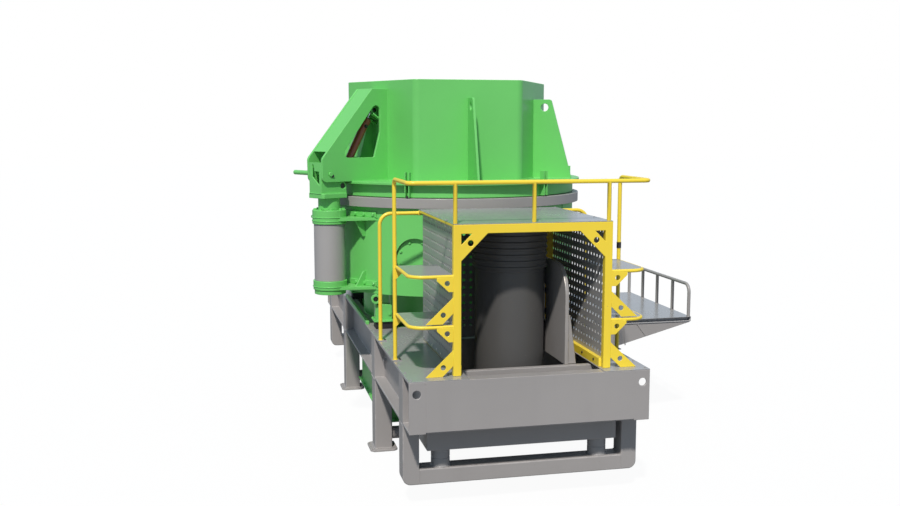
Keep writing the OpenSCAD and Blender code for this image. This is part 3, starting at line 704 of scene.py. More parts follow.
# ---- Drive boxes ----
# A closed sheet housing under each motor keeps stone and hands off the belts. It is folded
# from 10 mm sheet, welded at the corners and bolted up to the frame's lower flange.
welded("drive_boxes", frame_grey, 0.006, 3)
box_low, box_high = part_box("drive_boxes")
BOX_SCREW_PITCH = 0.138
BOX_BACK_SCREWS = 1.085
box_screws = []
for number in range(6):
    x = 0.12 + number * BOX_SCREW_PITCH
    for y in (box_high[1] - 0.06, BOX_BACK_SCREWS):
        box_screws += mirrored_spots(x, y, box_low[2], (0, 0, -1))
bolted("drive_box_screws", frame_grey, box_screws, 0.022, 0.010)

# ---- Discharge chute ----
# The square green chute under the crusher drops the broken stone on to the belt. It is a
# welded plate box with a flange of flat bar round its mouth, drilled and bolted.
GREEN = (0.158, 0.600, 0.140)
body_green = (enamel("body_green_enamel", GREEN), "body_green")
welded("discharge_chute", body_green)
chute_low, chute_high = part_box("discharge_chute")
FLANGE_SCREW_IN = 0.019
FLANGE_TOP = chute_low[2] + 0.014
flange_bolts = []
for number in range(8):
    along = -0.80 + number * 1.60 / 7
    for side in (-1, 1):
        x = side * (chute_high[0] - FLANGE_SCREW_IN)
        flange_bolts.append(((x, along * 1.08, FLANGE_TOP), UP))
        flange_bolts.append(((along, side * (chute_high[1] - FLANGE_SCREW_IN), FLANGE_TOP), UP))
bolted("chute_flange_bolts", body_green, flange_bolts, 0.024, 0.012)

# ---- Body feet and their rails ----
# The crusher body stands on four plated feet. Each rests on a thick block of black rubber on
# the frame's cross beam. Two square bars beside them locate the body sideways.
welded("base_rails", body_green, 0.003)
rubber = Finish("moulded_rubber", {"Specular IOR Level": 0.35})
grain = rubber.cloud(160.0, 4.0)
bloom = rubber.cloud(6.0, 4.0).between(0.4, 0.8)
rubber.feed(tone=rubber.mixed(bloom * 0.5, (0.020, 0.020, 0.021, 1), (0.055, 0.054, 0.052, 1)))
rubber.feed(rough=grain * 0.2 + 0.55, normal=rubber.relief(grain, 0.0006))
welded("foot_pads", (rubber.material, "pad_rubber"), 0.006, 3)
welded("body_feet", body_green, 0.003)
feet_low, feet_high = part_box("body_feet")
FOOT_BASE_THICK = 0.014
FOOT_SIDE_SCREW = 0.840
FOOT_SIDE_SCREW_UP = 1.33
FOOT_PIN = 0.985
BASE_SCREWS_ACROSS = (0.802, 0.995)
BASE_SCREWS_ALONG = (0.858, 1.012)
foot_bolts = mirrored_spots(FOOT_SIDE_SCREW, feet_high[1] - 0.04, FOOT_SIDE_SCREW_UP, (0, 1, 0))
for x in BASE_SCREWS_ACROSS:
    for y in BASE_SCREWS_ALONG:
        foot_bolts += mirrored_spots(x, y, feet_low[2] + FOOT_BASE_THICK, UP)
bolted("foot_bolts", body_green, foot_bolts, 0.024, 0.012)
pin_spots = mirrored_spots(FOOT_PIN, feet_high[1] - 0.024, feet_high[2] - 0.05, (0, 1, 0))
dark_steel = Finish("dark_steel", {"Metallic": 1.0})
wear = dark_steel.cloud(30.0, 4.0)
dark_steel.feed(tone=dark_steel.mixed(wear, (0.05, 0.05, 0.05, 1), (0.13, 0.12, 0.12, 1)))
dark_steel.feed(rough=wear * 0.3 + 0.3, normal=dark_steel.relief(wear, 0.0003))
pin_steel = (dark_steel.material, "pin_steel")
bolted("foot_pin_nuts", pin_steel, pin_spots, 0.030, 0.014)

# ---- Drum, shell, ring and hatch ----
# The crushing chamber is a tall drum of rolled plate on a smaller drum. A machined grey ring
# closes its top, and a round hatch sunk in a short neck gives a view of the stone inside.
welded("lower_drum", body_green, 0.003)


def lined(name, colour):
    """Enamel outside, and on faces marked inner the grey dust and rubbed steel that stone leaves."""
    paint = Finish(name, {"Specular IOR Level": 0.5, "Coat Roughness": 0.15})
    inner = paint.marked("inner")
    drift, rubbed, tone = paint.sprayed(colour, 0.45)
    scuff = paint.cloud(3.0, 6.0, (1.0, 1.0, 0.35)).between(0.40, 0.62)
    speck = paint.cloud(55.0, 5.0)
    tone = paint.mixed(rubbed, tone, tinted(colour, 1.35))
    bare = paint.mixed(speck.between(0.3, 0.7), (0.17, 0.155, 0.14, 1), (0.33, 0.31, 0.29, 1))
    worn = inner * scuff
    tone = paint.mixed(worn, tone, bare)
    dusty = inner * speck.between(0.45, 0.75) * 0.35
    tone = paint.mixed(dusty, tone, DUST)
    rough = drift * 0.08 + worn * 0.12 + dusty * 0.5 + 0.40
    dents = paint.relief(worn * speck, 0.0015, paint.peeled(0.00008))
    paint.feed(tone=tone, rough=rough, metal=worn * 0.6, coat=(1.0 - inner) * 0.16, normal=dents)
    return paint.material


def mark_inner(piece):
    """Marks the faces that look in at the machine's own axis."""
    inner = piece.data.attributes.new("inner", "FLOAT", "FACE")
    for face in piece.data.polygons:
        looks_in = face.center.x * face.normal.x + face.center.y * face.normal.y < -0.05
        below = face.normal.z < -0.7
        inner.data[face.index].value = float(looks_in or below)
    return piece


lined_green = (lined("lined_green_enamel", GREEN), "body_green")
mark_inner(welded("body_shell", lined_green, 0.003))
welded("body_ring", frame_grey, 0.004)
welded("hatch_cover", body_green, 0.003)


def heading(azimuth):
    """The level way out at an azimuth in degrees; 0 is the machine's right side."""
    turn = math.radians(azimuth)
    return Vector((math.cos(turn), math.sin(turn), 0))


def beside(way):
    """The level way a quarter turn round from another."""
    return Vector((-way.y, way.x, 0))


def pitched(count, shift, radius):
    """Even steps round a pitch circle, as an amount across and an amount up."""
    turns = [math.tau * (number + shift) / count for number in range(count)]
    return [(radius * math.cos(turn), radius * math.sin(turn)) for turn in turns]


shell_low, shell_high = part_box("body_shell")
shell_radius = shell_high[0]
HATCH_AZIMUTH = 243.5
HATCH_HEIGHT = 1.925
HATCH_SUNK = 0.045
HATCH_PITCH_CIRCLE = 0.172
hatch_out = heading(HATCH_AZIMUTH)
hatch_face = hatch_out * (shell_radius - HATCH_SUNK) + UP * HATCH_HEIGHT
hatch_bolts = []
for across, up in pitched(8, 0.5, HATCH_PITCH_CIRCLE):
    hatch_bolts.append((hatch_face + beside(hatch_out) * across + UP * up, hatch_out))
bolted("hatch_bolts", body_green, hatch_bolts, 0.024, 0.012)

DRUM_RADIUS = 0.962
SHELL_JOINTS = (318.0, 78.0, 168.0)
shell_seams = [round_path(shell_radius + 0.001, shell_high[2] - 0.003)]
for z in (shell_low[2] - 0.003, high_corner[2] + 0.003):
    shell_seams.append(round_path(DRUM_RADIUS, z))
for azimuth in SHELL_JOINTS:
    foot = heading(azimuth) * shell_radius + UP * (shell_low[2] + 0.01)
    shell_seams.append([foot, foot + UP * (shell_high[2] - shell_low[2] - 0.02)])
weld("shell_welds", body_green, shell_seams, 0.006)

# ---- Swing column ----
# A thick tube between two bracket plates stands beside the body and carries the lifting arm.
# The plates are welded and bolted to the shell; the collar on top holds the turning head.
welded("column_brackets", body_green, 0.004)
tube_grey = (enamel("tube_grey_enamel", (0.380, 0.368, 0.360), 0.38, 0.10), "frame_grey")
welded("column_tube", tube_grey, 0.003)
ARM_OUT = heading(210)
ARM_NEAR = beside(ARM_OUT)


def arm(out, near, z):
    """A place given in the lifting arm's own plane: out from the axis, to its near side, and up."""
    return ARM_OUT * out + ARM_NEAR * near + UP * z


COLUMN_OUT = 1.648
COLLAR_PITCH_CIRCLE = 0.143
BRACKET_FACE = 1.4063
BRACKET_BOLTS_UP = (2.358, 1.651)
BRACKET_BOLTS_ROUND = (195.4, 200.3, 205.2, 214.8, 219.7, 224.6)
BRACKET_FACES = (2.300, 2.328, 1.593, 1.621)
BRACKET_ENDS = (193.5, 226.5)
collar_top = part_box("column_brackets")[1][2]
column_spots = []
for across, up in pitched(8, 0.35, COLLAR_PITCH_CIRCLE):
    column_spots.append((arm(COLUMN_OUT + across, up, collar_top), UP))
for azimuth in BRACKET_BOLTS_ROUND:
    out = heading(azimuth)
    for z in BRACKET_BOLTS_UP:
        column_spots.append((out * BRACKET_FACE + UP * z, out))
bolted("column_bolts", body_green, column_spots, 0.030, 0.014)


def blocks(name, boxes):
    """Blocks of flat bar, each given as its middle and its half sides along out, near and up."""
    work = bmesh.new()
    for middle, sides in boxes:
        made = bmesh.ops.create_cube(work, size=2.0)["verts"]
        for vert in made:
            across = Vector(vert.co)
            turned_to = ARM_OUT * (across.x * sides[0]) + ARM_NEAR * (across.y * sides[1])
            vert.co = Vector(middle) + turned_to + UP * (across.z * sides[2])
    return rounded_off(name, meshed(work, name), 0.003)


ears = [(arm(1.600, -0.300, 2.314), (0.045, 0.028, 0.014))]
ears.append((arm(1.680, -0.165, 1.607), (0.040, 0.028, 0.014)))
finished(blocks("column_ears", ears), "frame", body_green)
ear_bolts = [(arm(1.645, -0.300, 2.314), ARM_OUT), (arm(1.720, -0.165, 1.607), ARM_OUT)]
bolted("column_ear_bolts", pin_steel, ear_bolts, 0.018, 0.008)
column_seams = []
for z in BRACKET_FACES:
    seam = round_path(shell_radius + 0.002, z, steps=24, start=BRACKET_ENDS[0], stop=BRACKET_ENDS[1])
    column_seams.append(seam)
column_middle = ARM_OUT * COLUMN_OUT
for z, radius in ((2.332, 0.173), (2.296, 0.173), (1.625, 0.173), (1.589, 0.161)):
    column_seams.append(round_path(radius, z, column_middle, 48))
weld("column_welds", body_green, column_seams, 0.005)

# ---- Turning head ----
# The head is a thick plate on a turned neck, with two cheeks and an end plate cut out for the
# ram. It swings on the column. A long hinge pin joins the arm to it, and a shorter one the ram.
for node in ("swing_neck", "pivot_head"):
    welded(node, body_green)
welded("hinge_pin", (body_green[0], "pin_steel"), 0.003)
welded("barrel_pin", pin_steel, 0.002)
head_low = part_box("pivot_head")[0][2]
seam_z = head_low + 0.050
NECK_RADIUS = 0.112
CHEEK_FACES = (0.1025, 0.0770)
CHEEK_ENDS = (1.515, 1.795)
END_PLATE_OUT = 1.8165
END_PLATE_HALF = 0.098
head_seams = []
for side in (-1, 1):
    for face in CHEEK_FACES:
        head_seams.append([arm(out, side * face, seam_z) for out in CHEEK_ENDS])
head_seams.append([arm(END_PLATE_OUT, near, seam_z) for near in (-END_PLATE_HALF, END_PLATE_HALF)])
head_seams.append(round_path(NECK_RADIUS, head_low - 0.003, column_middle, 40))
weld("head_welds", body_green, head_seams, 0.005, body="swing_head")

# ---- Lifting ram ----
# A hydraulic ram sprayed red stands in the head between the arm's plates. Its barrel has a
# screwed gland and two oil ports, and its rod is hard chrome ending in a forged eye.
ram_red = (enamel("ram_red_enamel", (0.335, 0.075, 0.040), 0.36, 0.12, 0.6), "ram_red")
welded("lift_barrel", ram_red, 0.002)
chrome = Finish("hard_chrome", {"Metallic": 1.0, "Base Color": (0.72, 0.73, 0.75, 1)})
oiled = chrome.cloud(14.0, 3.0, (1.0, 1.0, 0.2))
streaks = chrome.cloud(220.0, 2.0, (1.0, 1.0, 0.1))
chrome.feed(tone=chrome.mixed(oiled * 0.4, (0.72, 0.73, 0.75, 1), (0.45, 0.44, 0.42, 1)))
chrome.feed(rough=oiled * 0.18 + 0.10, normal=chrome.relief(streaks, 0.00004))
welded("lift_rod", (chrome.material, "rod_chrome"), 0.002)
welded("rod_pin", pin_steel, 0.002)
foot_spot = arm(1.545, 0.0, 2.648)
eye_spot = arm(1.095, 0.0, 3.415)
ram_way = (eye_spot - foot_spot).normalized()
ram_turn = UP.rotation_difference(ram_way).to_matrix()
ROD_SHOWN = 0.110
BORE = 0.0405
PORT_IN = 0.085
barrel_end = (eye_spot - foot_spot).length - ROD_SHOWN
gland = [(BORE, -0.052), (0.0465, -0.050), (0.0465, -0.006), (0.0440, 0.0), (BORE, 0.0), (BORE, -0.052)]
wiper = [(0.024, -0.001), (0.034, 0.0), (0.034, 0.010), (0.024, 0.011), (0.024, -0.001)]
for name, rings, sides, round_by, sharp, coat in (
        ("ram_wiper", wiper, 40, 0.0, 38.0, pin_steel), ("ram_gland", gland, 8, 0.002, 30.0, ram_red)):
    profile = [(radius, barrel_end + height) for radius, height in rings]
    mesh = turned(profile, [foot_spot], sides, ram_turn)
    finished(rounded_off(name, mesh, round_by, sharp), "lift_barrel", coat)
port_spots = []
for up in (PORT_IN, barrel_end - PORT_IN):
    port_spots.append((foot_spot + ram_way * up + ARM_NEAR * 0.038, ARM_NEAR))
bolted("ram_ports", pin_steel, port_spots, 0.026, 0.018, body="lift_barrel")

# ---- Lifting arm ----
# Two profile-cut plates with a long window, boxed by a folded cover plate and welded to the
# hopper's corner. Inside, two lugs hold the pin of the ram's eye.
for node in ("arm_plates", "arm_cover", "arm_lugs"):
    welded(node, body_green, 0.004, 3)
ARM_SIDE = 0.1325
ARM_INSIDE = 0.1065
HOPPER_HALF = 0.977
lid_low, lid_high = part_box("lid_hopper")
seam_low = lid_low[2] + 0.01
arm_seams = []
for side in (-1, 1):
    for face in (side * ARM_SIDE, side * ARM_INSIDE):
        foot = arm(HOPPER_HALF, face, seam_low)
        arm_seams.append([foot, arm(HOPPER_HALF, face, lid_high[2] - 0.095)])
    foot = arm(0.985, side * ARM_SIDE, lid_low[2] + 0.002)
    arm_seams.append([foot, foot + ARM_OUT * 0.465])
weld("arm_welds", body_green, arm_seams, 0.005, body="lid")
keeper = [(arm(1.692, 0.133, 2.752), ARM_NEAR)]
bolted("hinge_keeper_bolt", pin_steel, keeper, 0.020, 0.010, body="lid")

# ---- Lid and feed hopper ----
# The lid is a thick disc with a short skirt. The hexagonal hopper on it is bent from 12 mm
# plate and stiffened by fins with lifting holes. Stone rubs its inside down to bare steel.
lid_green = (lined("lid_green_enamel", GREEN), "body_green")
mark_inner(welded("lid_hopper", lid_green, 0.004))
welded("lid_disc", body_green, 0.004)
welded("lid_fins", body_green, 0.003)
welded("lid_clamps", body_green, 0.002)
CLAMP_OUT = 1.425
CLAMP_HEIGHT = 2.5425
FIN_HALF = 0.0135
hopper_corner = HOPPER_HALF / math.cos(math.radians(30))
hopper_corners = []
for number in range(6):
    hopper_corners.append(heading(60 * number) * hopper_corner + UP * (lid_low[2] + 0.003))
foot_bead = lines("hopper_foot_weld", [hopper_corners], True)
values = {"Radius": 0.007, "Bend": 0.09, "Pitch": 0.011, "Paint": body_green[0]}
hopper_weld = bead.cooked("hopper_foot_weld", foot_bead, **values)
hopper_weld.data.shade_smooth()
finished(hopper_weld, "lid", body_green)
fin_seams = []
for number in (0, 1, 2, 4, 5):
    out = heading(30 + 60 * number)
    for side in (-FIN_HALF, FIN_HALF):
        face = beside(out) * side
        foot = out * (HOPPER_HALF + 0.001) + face + UP * seam_low
        fin_seams.append([foot, foot + UP * (lid_high[2] - 0.19 - seam_low)])
        foot = out * 0.99 + face + UP * (lid_low[2] + 0.001)
        fin_seams.append([foot, foot + out * 0.40])
fin_seams.append(round_path(shell_radius + 0.002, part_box("lid_disc")[0][2] + 0.121))
weld("fin_welds", body_green, fin_seams, 0.005, body="lid")
clamp_nuts = []
for number in range(6):
    out = heading(60 * number + 1)
    clamp_nuts.append((out * CLAMP_OUT + UP * CLAMP_HEIGHT, out))
bolted("clamp_nuts", pin_steel, clamp_nuts, 0.024, 0.018, body="lid")

# ---- Motors ----
# Two big flanged electric motors stand upright with their shafts down. Each has a smooth rolled
# frame, a ribbed fan cowl on top, a terminal box at the side and a grooved pulley below.
MOTOR_COLOUR = (0.085, 0.083, 0.080)
motor_dark = (enamel("motor_dark_enamel", MOTOR_COLOUR, 0.42, 0.06, 0.5), "motor_grey")
motor_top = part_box("motors")[1][2]
GUARD_SHIFT = 0.038
MOTOR_ALONG = 2.374
COWL_TALL = 0.360
COWL_OUT = 0.340
COWL_VALLEY = 0.330
RIB_PITCH = 0.055
GROOVE_PITCH = 0.019
FLANGE_PITCH_CIRCLE = 0.303
COWL_PITCH_CIRCLE = 0.315
motor_centres = [(GUARD_SHIFT, end * MOTOR_ALONG, 0.0) for end in (-1, 1)]
cowl_low = motor_top - COWL_TALL
profile = [(0.0001, 0.590), (0.200, 0.590), (0.200, 0.598)]
for groove in range(5):
    z = 0.600 + groove * GROOVE_PITCH
    profile += [(0.198, z), (0.186, z + 0.006), (0.186, z + 0.009), (0.198, z + 0.015)]
profile += [(0.200, 0.696), (0.200, 0.700), (0.085, 0.700), (0.085, 0.722), (0.045, 0.722)]
profile += [(0.045, 0.990), (0.288, 0.990), (0.288, 1.020), (0.318, 1.020), (0.318, 1.042)]
profile += [(0.3135, 1.045), (0.3135, cowl_low - 0.030)]
profile += [(0.318, cowl_low - 0.027), (0.318, cowl_low - 0.001)]
for rib in range(6):
    z = cowl_low + rib * RIB_PITCH
    profile += [(COWL_OUT, z), (COWL_OUT, z + 0.016), (COWL_VALLEY, z + 0.024), (COWL_VALLEY, z + 0.052)]
profile += [(COWL_OUT, cowl_low + 0.332), (COWL_OUT, cowl_low + 0.350), (COWL_VALLEY, motor_top)]
profile += [(0.300, motor_top), (0.300, motor_top - 0.008), (0.0001, motor_top - 0.008)]
motor_mesh = turned(profile, motor_centres, 72)
terminal_boxes = bmesh.new()
terminal_boxes.from_mesh(motor_mesh)
BOX_NEAR = MOTOR_ALONG - 0.404
BOX_FAR = MOTOR_ALONG - 0.224
for end in (-1, 1):
    low_y, high_y = sorted((end * BOX_NEAR, end * BOX_FAR))
    housing = ((0.208, 0.4175), (low_y, high_y), (1.246, 1.874))
    rim = ((0.212, 0.4140), (low_y - 0.004, high_y + 0.004), (1.262, 1.858))
    for sides in (housing, rim):
        for vert in bmesh.ops.create_cube(terminal_boxes, size=1.0)["verts"]:
            vert.co = [(low + high) / 2 + at * (high - low) for (low, high), at in zip(sides, vert.co)]
terminal_boxes.to_mesh(motor_mesh)
terminal_boxes.free()
motors = rounded_off("motor_housings", motor_mesh, 0.002, 30.0)
finished(motors, "frame", motor_dark, ["motors"])
cowl_screws = []
flange_spots = []
for x, y, _ in motor_centres:
    for across, up in pitched(12, 0.5, FLANGE_PITCH_CIRCLE):
        flange_spots.append(((x + across, y + up, 1.0195), -UP))
    for across, up in pitched(6, 0.25, COWL_PITCH_CIRCLE):
        cowl_screws.append(((x + across, y + up, cowl_low + 0.3555), UP))
    side = 1 if y > 0 else -1
    for z in (1.285, 1.47, 1.65, 1.835):
        for x_screw in (0.232, 0.394):
            cowl_screws.append(((x_screw, side * (BOX_NEAR - 0.004), z), (0, -side, 0)))
bolted("motor_flange_bolts", pin_steel, flange_spots, 0.024, 0.012)
bolted("motor_screws", motor_dark, cowl_screws, 0.015, 0.007)

# ---- Motor seats ----
# The motor is held by a thick upright plate with a rounded top corner and two gussets behind.
# It is cut from 35 mm plate and sprayed in the frame's grey; its edges are scuffed to bare steel, and
# their lighter colour is also a painted highlight.
seat_paint = Finish("seat_dark_enamel", {"Specular IOR Level": 0.5})
shade = seat_paint.cloud(1.2, 4.0).between(0.25, 0.75)
# The rounded edges are partly real scuffing and partly a painted highlight: they are made lighter and
# metallic.
scuffed_and_highlit = seat_paint.marked("edge") * seat_paint.cloud(9.0, 4.0).between(0.2, 0.5)
grit = seat_paint.cloud(70.0, 5.0)
tone = seat_paint.mixed(shade, tinted(GREY, 0.92), tinted(GREY, 1.0))
tone = seat_paint.mixed(grit * 0.15, tone, DUST)
tone = seat_paint.mixed(scuffed_and_highlit, tone, (0.55, 0.52, 0.48, 1))
seat_paint.feed(tone=tone, rough=grit * 0.2 + 0.35, metal=scuffed_and_highlit * 0.7)
seat_paint.feed(normal=seat_paint.relief(grit, 0.0002))
welded("motor_seats", (seat_paint.material, "frame_grey"), 0.006, 3)
SEAT_FACE = 0.4535
SEAT_BOLTS_UP = (1.52, 1.72, 1.84)
SEAT_BOLTS_ALONG = (2.17, 2.36, 2.55)
seat_spots = []
for z in SEAT_BOLTS_UP:
    for along in SEAT_BOLTS_ALONG:
        seat_spots += both_ends(SEAT_FACE, along, z, (1, 0, 0))
bolted("seat_bolts", pin_steel, seat_spots, 0.036, 0.018)

# ---- Guards ----
# Each motor stands in a walk-in guard: a frame of yellow posts with cut corner braces, sides and
# a back of perforated sheet screwed to it, and a roof that people can stand on.
YELLOW = (1.0, 0.725, 0.050)
safety_yellow = (enamel("safety_yellow_enamel", YELLOW, 0.42, 0.08, 0.35), "safety_yellow")
welded("guard_frames", safety_yellow, 0.004)
guard_low, guard_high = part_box("guard_panels")
sheet = Recipe("perforated_sheet", Wide="Float", Tall="Float", Thick="Float", Hole="Float",
               Columns="Int", Rows="Int", Step="Float", Rise="Float", Lift="Float", Turn="Float")
sockets = {"Width": sheet.given("Wide"), "Height": sheet.given("Tall")}
rim = sheet.result("GeometryNodeCurvePrimitiveQuadrilateral", sockets, {"mode": "RECTANGLE"})
columns = sheet.given("Columns")
rows = sheet.given("Rows")
sockets = {"Size X": (columns - 1.0) * sheet.given("Step"), "Size Y": (rows - 1.0) * sheet.given("Rise")}
sockets.update({"Vertices X": columns, "Vertices Y": rows})
places = sheet.moved(sheet.result("GeometryNodeMeshGrid", sockets), 1, sheet.given("Lift"))
sockets = {"Resolution": 14, "Radius": sheet.given("Hole") * 0.5}
round_hole = sheet.result("GeometryNodeCurvePrimitiveCircle", sockets)
holes = sheet.result("GeometryNodeInstanceOnPoints", {"Points": places, "Instance": round_hole})
holes = sheet.result("GeometryNodeRealizeInstances", {0: holes})
flat_sheet = sheet.result("GeometryNodeFillCurve", {"Curve": sheet.joined(rim, holes)})
sockets = {"Mesh": flat_sheet, "Offset Scale": sheet.given("Thick"), "Individual": False}
front = sheet.result("GeometryNodeExtrudeMesh", sockets, {"mode": "FACES"})
back = sheet.result("GeometryNodeFlipFaces", {0: flat_sheet})
sockets = {"Geometry": sheet.joined(front, back), "Distance": 0.00001}
closed_sheet = sheet.result("GeometryNodeMergeByDistance", sockets)
turned_up = sheet.result("ShaderNodeCombineXYZ", {0: math.radians(90), 2: sheet.given("Turn")})
upright_sheet = sheet.result("GeometryNodeTransform", {0: closed_sheet, "Rotation": turned_up})
sockets = {"Points": sheet.start.outputs[0], "Instance": upright_sheet}
sheet.served(sheet.result("GeometryNodeInstanceOnPoints", sockets))
PANEL_THICK = 0.005
SIDE_SHEET_ALONG = 2.344
BACK_SHEET_ALONG = 1.6215
SHEET_OUT = 0.647
plated = Finish("zinc_plate", {"Metallic": 1.0})
dulled = plated.cloud(40.0, 3.0)
plated.feed(tone=plated.mixed(dulled, (0.62, 0.62, 0.60, 1), (0.80, 0.80, 0.78, 1)))
plated.feed(rough=dulled * 0.25 + 0.25, normal=plated.relief(dulled, 0.0001))
side_spots = []
back_spots = []
sheet_middle = (guard_low[2] + guard_high[2]) / 2
for end in (-1, 1):
    for x in (GUARD_SHIFT - SHEET_OUT - PANEL_THICK, GUARD_SHIFT + SHEET_OUT):
        side_spots.append((x, end * SIDE_SHEET_ALONG, sheet_middle))
    back_spots.append((GUARD_SHIFT, end * BACK_SHEET_ALONG + PANEL_THICK / 2, sheet_middle))
sheet_sizes = {"Tall": guard_high[2] - guard_low[2], "Thick": PANEL_THICK, "Hole": 0.030}
sheet_sizes.update({"Rows": 15, "Step": 0.070, "Rise": 0.075, "Lift": 0.020})
panel_paint = Finish("panel_grey_enamel", {"Specular IOR Level": 0.5})
veil = panel_paint.cloud(1.4, 4.0).between(0.3, 0.7)
grit = panel_paint.cloud(60.0, 5.0)
tone = panel_paint.mixed(veil, (0.330, 0.330, 0.330, 1), (0.375, 0.372, 0.368, 1))
tone = panel_paint.mixed(grit * 0.12, tone, DUST)
panel_paint.feed(tone=tone, rough=grit * 0.15 + 0.30, normal=panel_paint.relief(grit, 0.0001))
sheet_grey = (panel_paint.material, "deck_grey")
for name, spots, wide, columns, turn in (
        ("guard_side_sheets", side_spots, 1.440, 20, math.radians(90)),
        ("guard_back_sheets", back_spots, 1.290, 18, 0.0)):
    spot_mesh = bpy.data.meshes.new(name)
    spot_mesh.from_pydata(spots, [], [])
    values = {"Wide": wide, "Columns": columns, "Turn": turn, "Paint": sheet_grey[0]}
    panels = sheet.cooked(name, spot_mesh, **sheet_sizes, **values)
    finished(panels, "frame", sheet_grey, ["guard_panels"])
STRIP_SCREW_PITCH = 0.285
SHEET_SCREW_PITCH = 0.190
SCREWS_LOW = 1.226
strip_screws = []
sheet_screws = []
for side in (-1, 1):
    strip_in = GUARD_SHIFT + side * (SHEET_OUT - 0.040)
    sheet_out = GUARD_SHIFT + side * (SHEET_OUT + PANEL_THICK)
    for end in (-1, 1):
        for number in range(5):
            along = end * (2.938 - number * STRIP_SCREW_PITCH)
            for z in (SCREWS_LOW, 2.410):
                strip_screws.append(((strip_in, along, z), (-side, 0, 0)))
        for number in range(8):
            along = end * (1.690 + number * SHEET_SCREW_PITCH)
            for z in (SCREWS_LOW, 2.400):
                sheet_screws.append(((sheet_out, along, z), (side, 0, 0)))
bolted("guard_screws", pin_steel, strip_screws, 0.016, 0.006)
bolted("sheet_screws", (plated.material, "rod_chrome"), sheet_screws, 0.016, 0.007)
welded("guard_roofs", deck_grey, 0.0015)
roof_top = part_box("guard_roofs")[1][2]
ROOF_SCREWS_OUT = 0.667
ROOF_SCREWS_ALONG = (1.66, 2.02, 2.38, 2.74, 3.06)
roof_screws = []
for along in ROOF_SCREWS_ALONG:
    for side in (-1, 1):
        roof_screws += both_ends(GUARD_SHIFT + side * ROOF_SCREWS_OUT, along, roof_top, UP)
bolted("roof_screws", deck_grey, roof_screws, 0.014, 0.005)

# ---- Handrails and steps ----
# Bent tube rails run round the roof and down to the deck, and serve as ladder rails for the
# steps at the guard's sides. A step is a grey plate edged with a bent yellow bar.
BASE_TOP = 1.1945
rail_work = bmesh.new()
rail_work.from_mesh(frame["nodes"]["handrails"].data)
bmesh.ops.remove_doubles(rail_work, verts=rail_work.verts, dist=0.00002)
everything = rail_work.verts[:] + rail_work.edges[:] + rail_work.faces[:]
cut = {"plane_co": (0, 0, BASE_TOP), "plane_no": (0, 0, 1), "clear_inner": True}
cut_edges = bmesh.ops.bisect_plane(rail_work, geom=everything, dist=0.00001, **cut)["geom_cut"]
open_ends = [part for part in cut_edges if isinstance(part, bmesh.types.BMEdge)]
bmesh.ops.edgeloop_fill(rail_work, edges=open_ends)
tubes = rounded_off("handrail_tubes", meshed(rail_work, "rail_tubes"), 0.0, 50.0)
finished(tubes, "frame", safety_yellow, ["handrails"])
bent_bar = Recipe("bent_bar", Radius="Float", Bend="Float")
bent_bar.served(bent_bar.string(bent_bar.bent(), 18).outputs[0])


def bars(name, coat, paths, radius, bend):
    """Round bar bent along the paths, fixed to the frame."""
    made = bent_bar.cooked(name, lines(name, paths), Radius=radius, Bend=bend, Paint=coat[0])
    for face in made.data.polygons:
        face.use_smooth = len(face.vertices) == 4
    return finished(made, "frame", coat)


RAIL_SHIFT = 0.018
LADDER_HALF = 1.046
LADDER_ALONG = 2.440
INNER_POST_ALONG = 1.594
TUBE_RADIUS = 0.018
BAR_BEND = 0.125
BAR_RADIUS = 0.0155
STEP_HEIGHTS = (1.600, 2.020)
TREAD_LOW = 0.009
TREAD_TOP = 0.0165
GUSSET_HALF = 0.003
GUSSET_REACH = 0.120
GUSSET_FOOT = -0.106
BASE_PLATE_TOP = 1.194
BASE_PLATE_HALF = 0.032
step_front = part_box("steps")[1][1]
edge_paths = []
treads = bmesh.new()
gussets = bmesh.new()
plates = bmesh.new()
rail_rings = []
base_bolts = []
for end in (-1, 1):
    for side in (-1, 1):
        guard_side = GUARD_SHIFT + side * 0.692
        rail_x = RAIL_SHIFT + side * LADDER_HALF
        outer = rail_x - side * BAR_RADIUS
        front = end * (step_front - BAR_RADIUS)
        back = end * (LADDER_ALONG + TUBE_RADIUS + 0.002)
        rounded_corner = []
        for number in range(9):
            turn = math.radians(90 * number / 8)
            x = outer - side * BAR_BEND * (1 - math.sin(turn))
            rounded_corner.append((x, front - end * BAR_BEND * (1 - math.cos(turn))))
        outline = [(guard_side, front)] + rounded_corner + [(outer, back), (guard_side, back)]
        for z in STEP_HEIGHTS:
            bar_z = z + 0.002
            edge_paths.append([(guard_side, front, bar_z), (outer, front, bar_z), (outer, back, bar_z)])
            slab_of(treads, outline, z + TREAD_LOW, z + TREAD_TOP)
            near_x = rail_x - side * 0.006
            far_x = rail_x - side * GUSSET_REACH
            y = end * (LADDER_ALONG + 0.022)
            corners = [(near_x, z + TREAD_LOW), (far_x, z + TREAD_LOW), (near_x, z + GUSSET_FOOT)]
            rows = []
            for offset in (-GUSSET_HALF, GUSSET_HALF):
                rows.append([gussets.verts.new((x, y + offset, height)) for x, height in corners])
            gussets.faces.new(rows[0])
            gussets.faces.new(rows[1][::-1])
            for first in range(3):
                after = (first + 1) % 3
                gussets.faces.new([rows[0][first], rows[1][first], rows[1][after], rows[0][after]])
        for along in (LADDER_ALONG, INNER_POST_ALONG):
            post = (rail_x, end * along)
            rail_rings.append(round_path(TUBE_RADIUS + 0.001, BASE_TOP + 0.002, post, 16))
            inner = rail_x - side * 0.060
            outside = rail_x + side * BASE_PLATE_HALF
            low_y, high_y = end * along - BASE_PLATE_HALF, end * along + BASE_PLATE_HALF
            outline = [(inner, low_y), (outside, low_y), (outside, high_y), (inner, high_y)]
            slab_of(plates, outline, BASE_PLATE_TOP - 0.008, BASE_PLATE_TOP)
            for step in (0.018, -0.018):
                base_bolts.append(((rail_x - side * 0.042, end * (along + step), BASE_PLATE_TOP), UP))
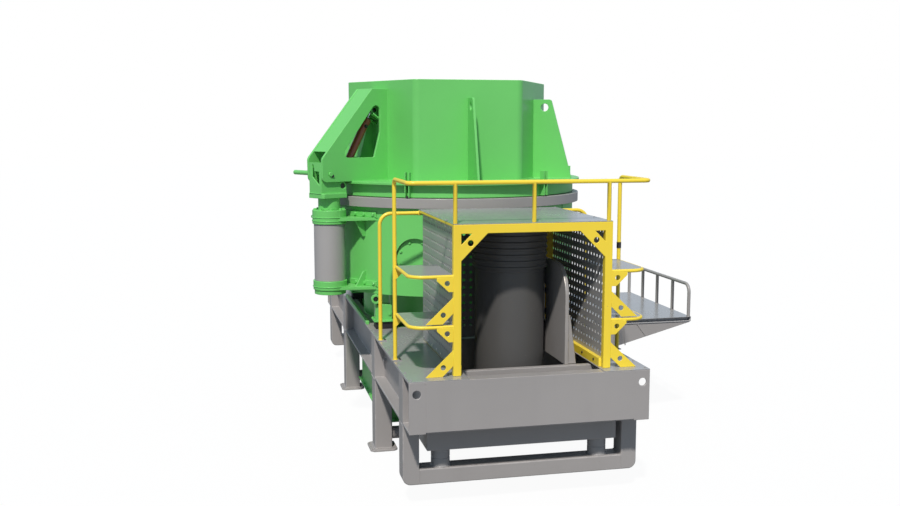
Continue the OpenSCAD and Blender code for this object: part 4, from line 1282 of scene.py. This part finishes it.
bars("step_edge_bars", safety_yellow, edge_paths, BAR_RADIUS, BAR_BEND)
weld("rail_welds", safety_yellow, rail_rings, 0.004)
handed_over("step_treads", treads, deck_grey, 0.0015, ["steps"])
handed_over("step_gussets", gussets, safety_yellow, 0.001)
handed_over("rail_base_plates", plates, deck_grey, 0.0015)
welded("step_braces", safety_yellow, 0.002)
bolted("rail_base_bolts", pin_steel, base_bolts, 0.012, 0.006)
BAND_HALF = 0.0275
BAND_OUT = TUBE_RADIUS + 0.003
bands = [(TUBE_RADIUS, -BAND_HALF), (BAND_OUT, -BAND_HALF), (BAND_OUT, BAND_HALF)]
bands += [(TUBE_RADIUS, BAND_HALF), (TUBE_RADIUS, -BAND_HALF)]
band_spots = [(RAIL_SHIFT + LADDER_HALF, end * LADDER_ALONG, 2.1635) for end in (-1, 1)]
band_mesh = turned(bands, band_spots, 32)
finished(rounded_off("rail_bands", band_mesh, 0.0), "frame", pin_steel)

# ---- Side platform ----
# A folded steel platform hangs on three tapered brackets at the machine's right side, with a
# low rail of welded tube along its outer edge. It is sprayed in the frame's grey.
welded("platform_floor", deck_grey, 0.0)
welded("platform_brackets", frame_grey, 0.003)
welded("platform_rail", frame_grey, 0.0, sharp=50.0)
plate_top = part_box("platform_floor")[1][2]
rail_low, rail_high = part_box("platform_rail")
BRACKETS_ALONG = (-1.1215, -0.297, 0.541)
stiffeners = []
for y in BRACKETS_ALONG:
    stiffeners.append([(1.684, y, 1.130), (1.701, y, 0.910)])
    stiffeners.append([(1.833, y, 1.130), (1.929, y, 1.009)])
bars("platform_stiffeners", frame_grey, stiffeners, 0.006, 0.0)
rail_x = (rail_low[0] + rail_high[0]) / 2
post_pitch = (rail_high[1] - rail_low[1] - 2 * TUBE_RADIUS) / 4
rings = []
for number in range(5):
    post = (rail_x, rail_low[1] + TUBE_RADIUS + number * post_pitch)
    rings.append(round_path(TUBE_RADIUS + 0.001, plate_top + 0.002, post, 16))
weld("platform_rail_welds", frame_grey, rings, 0.004)
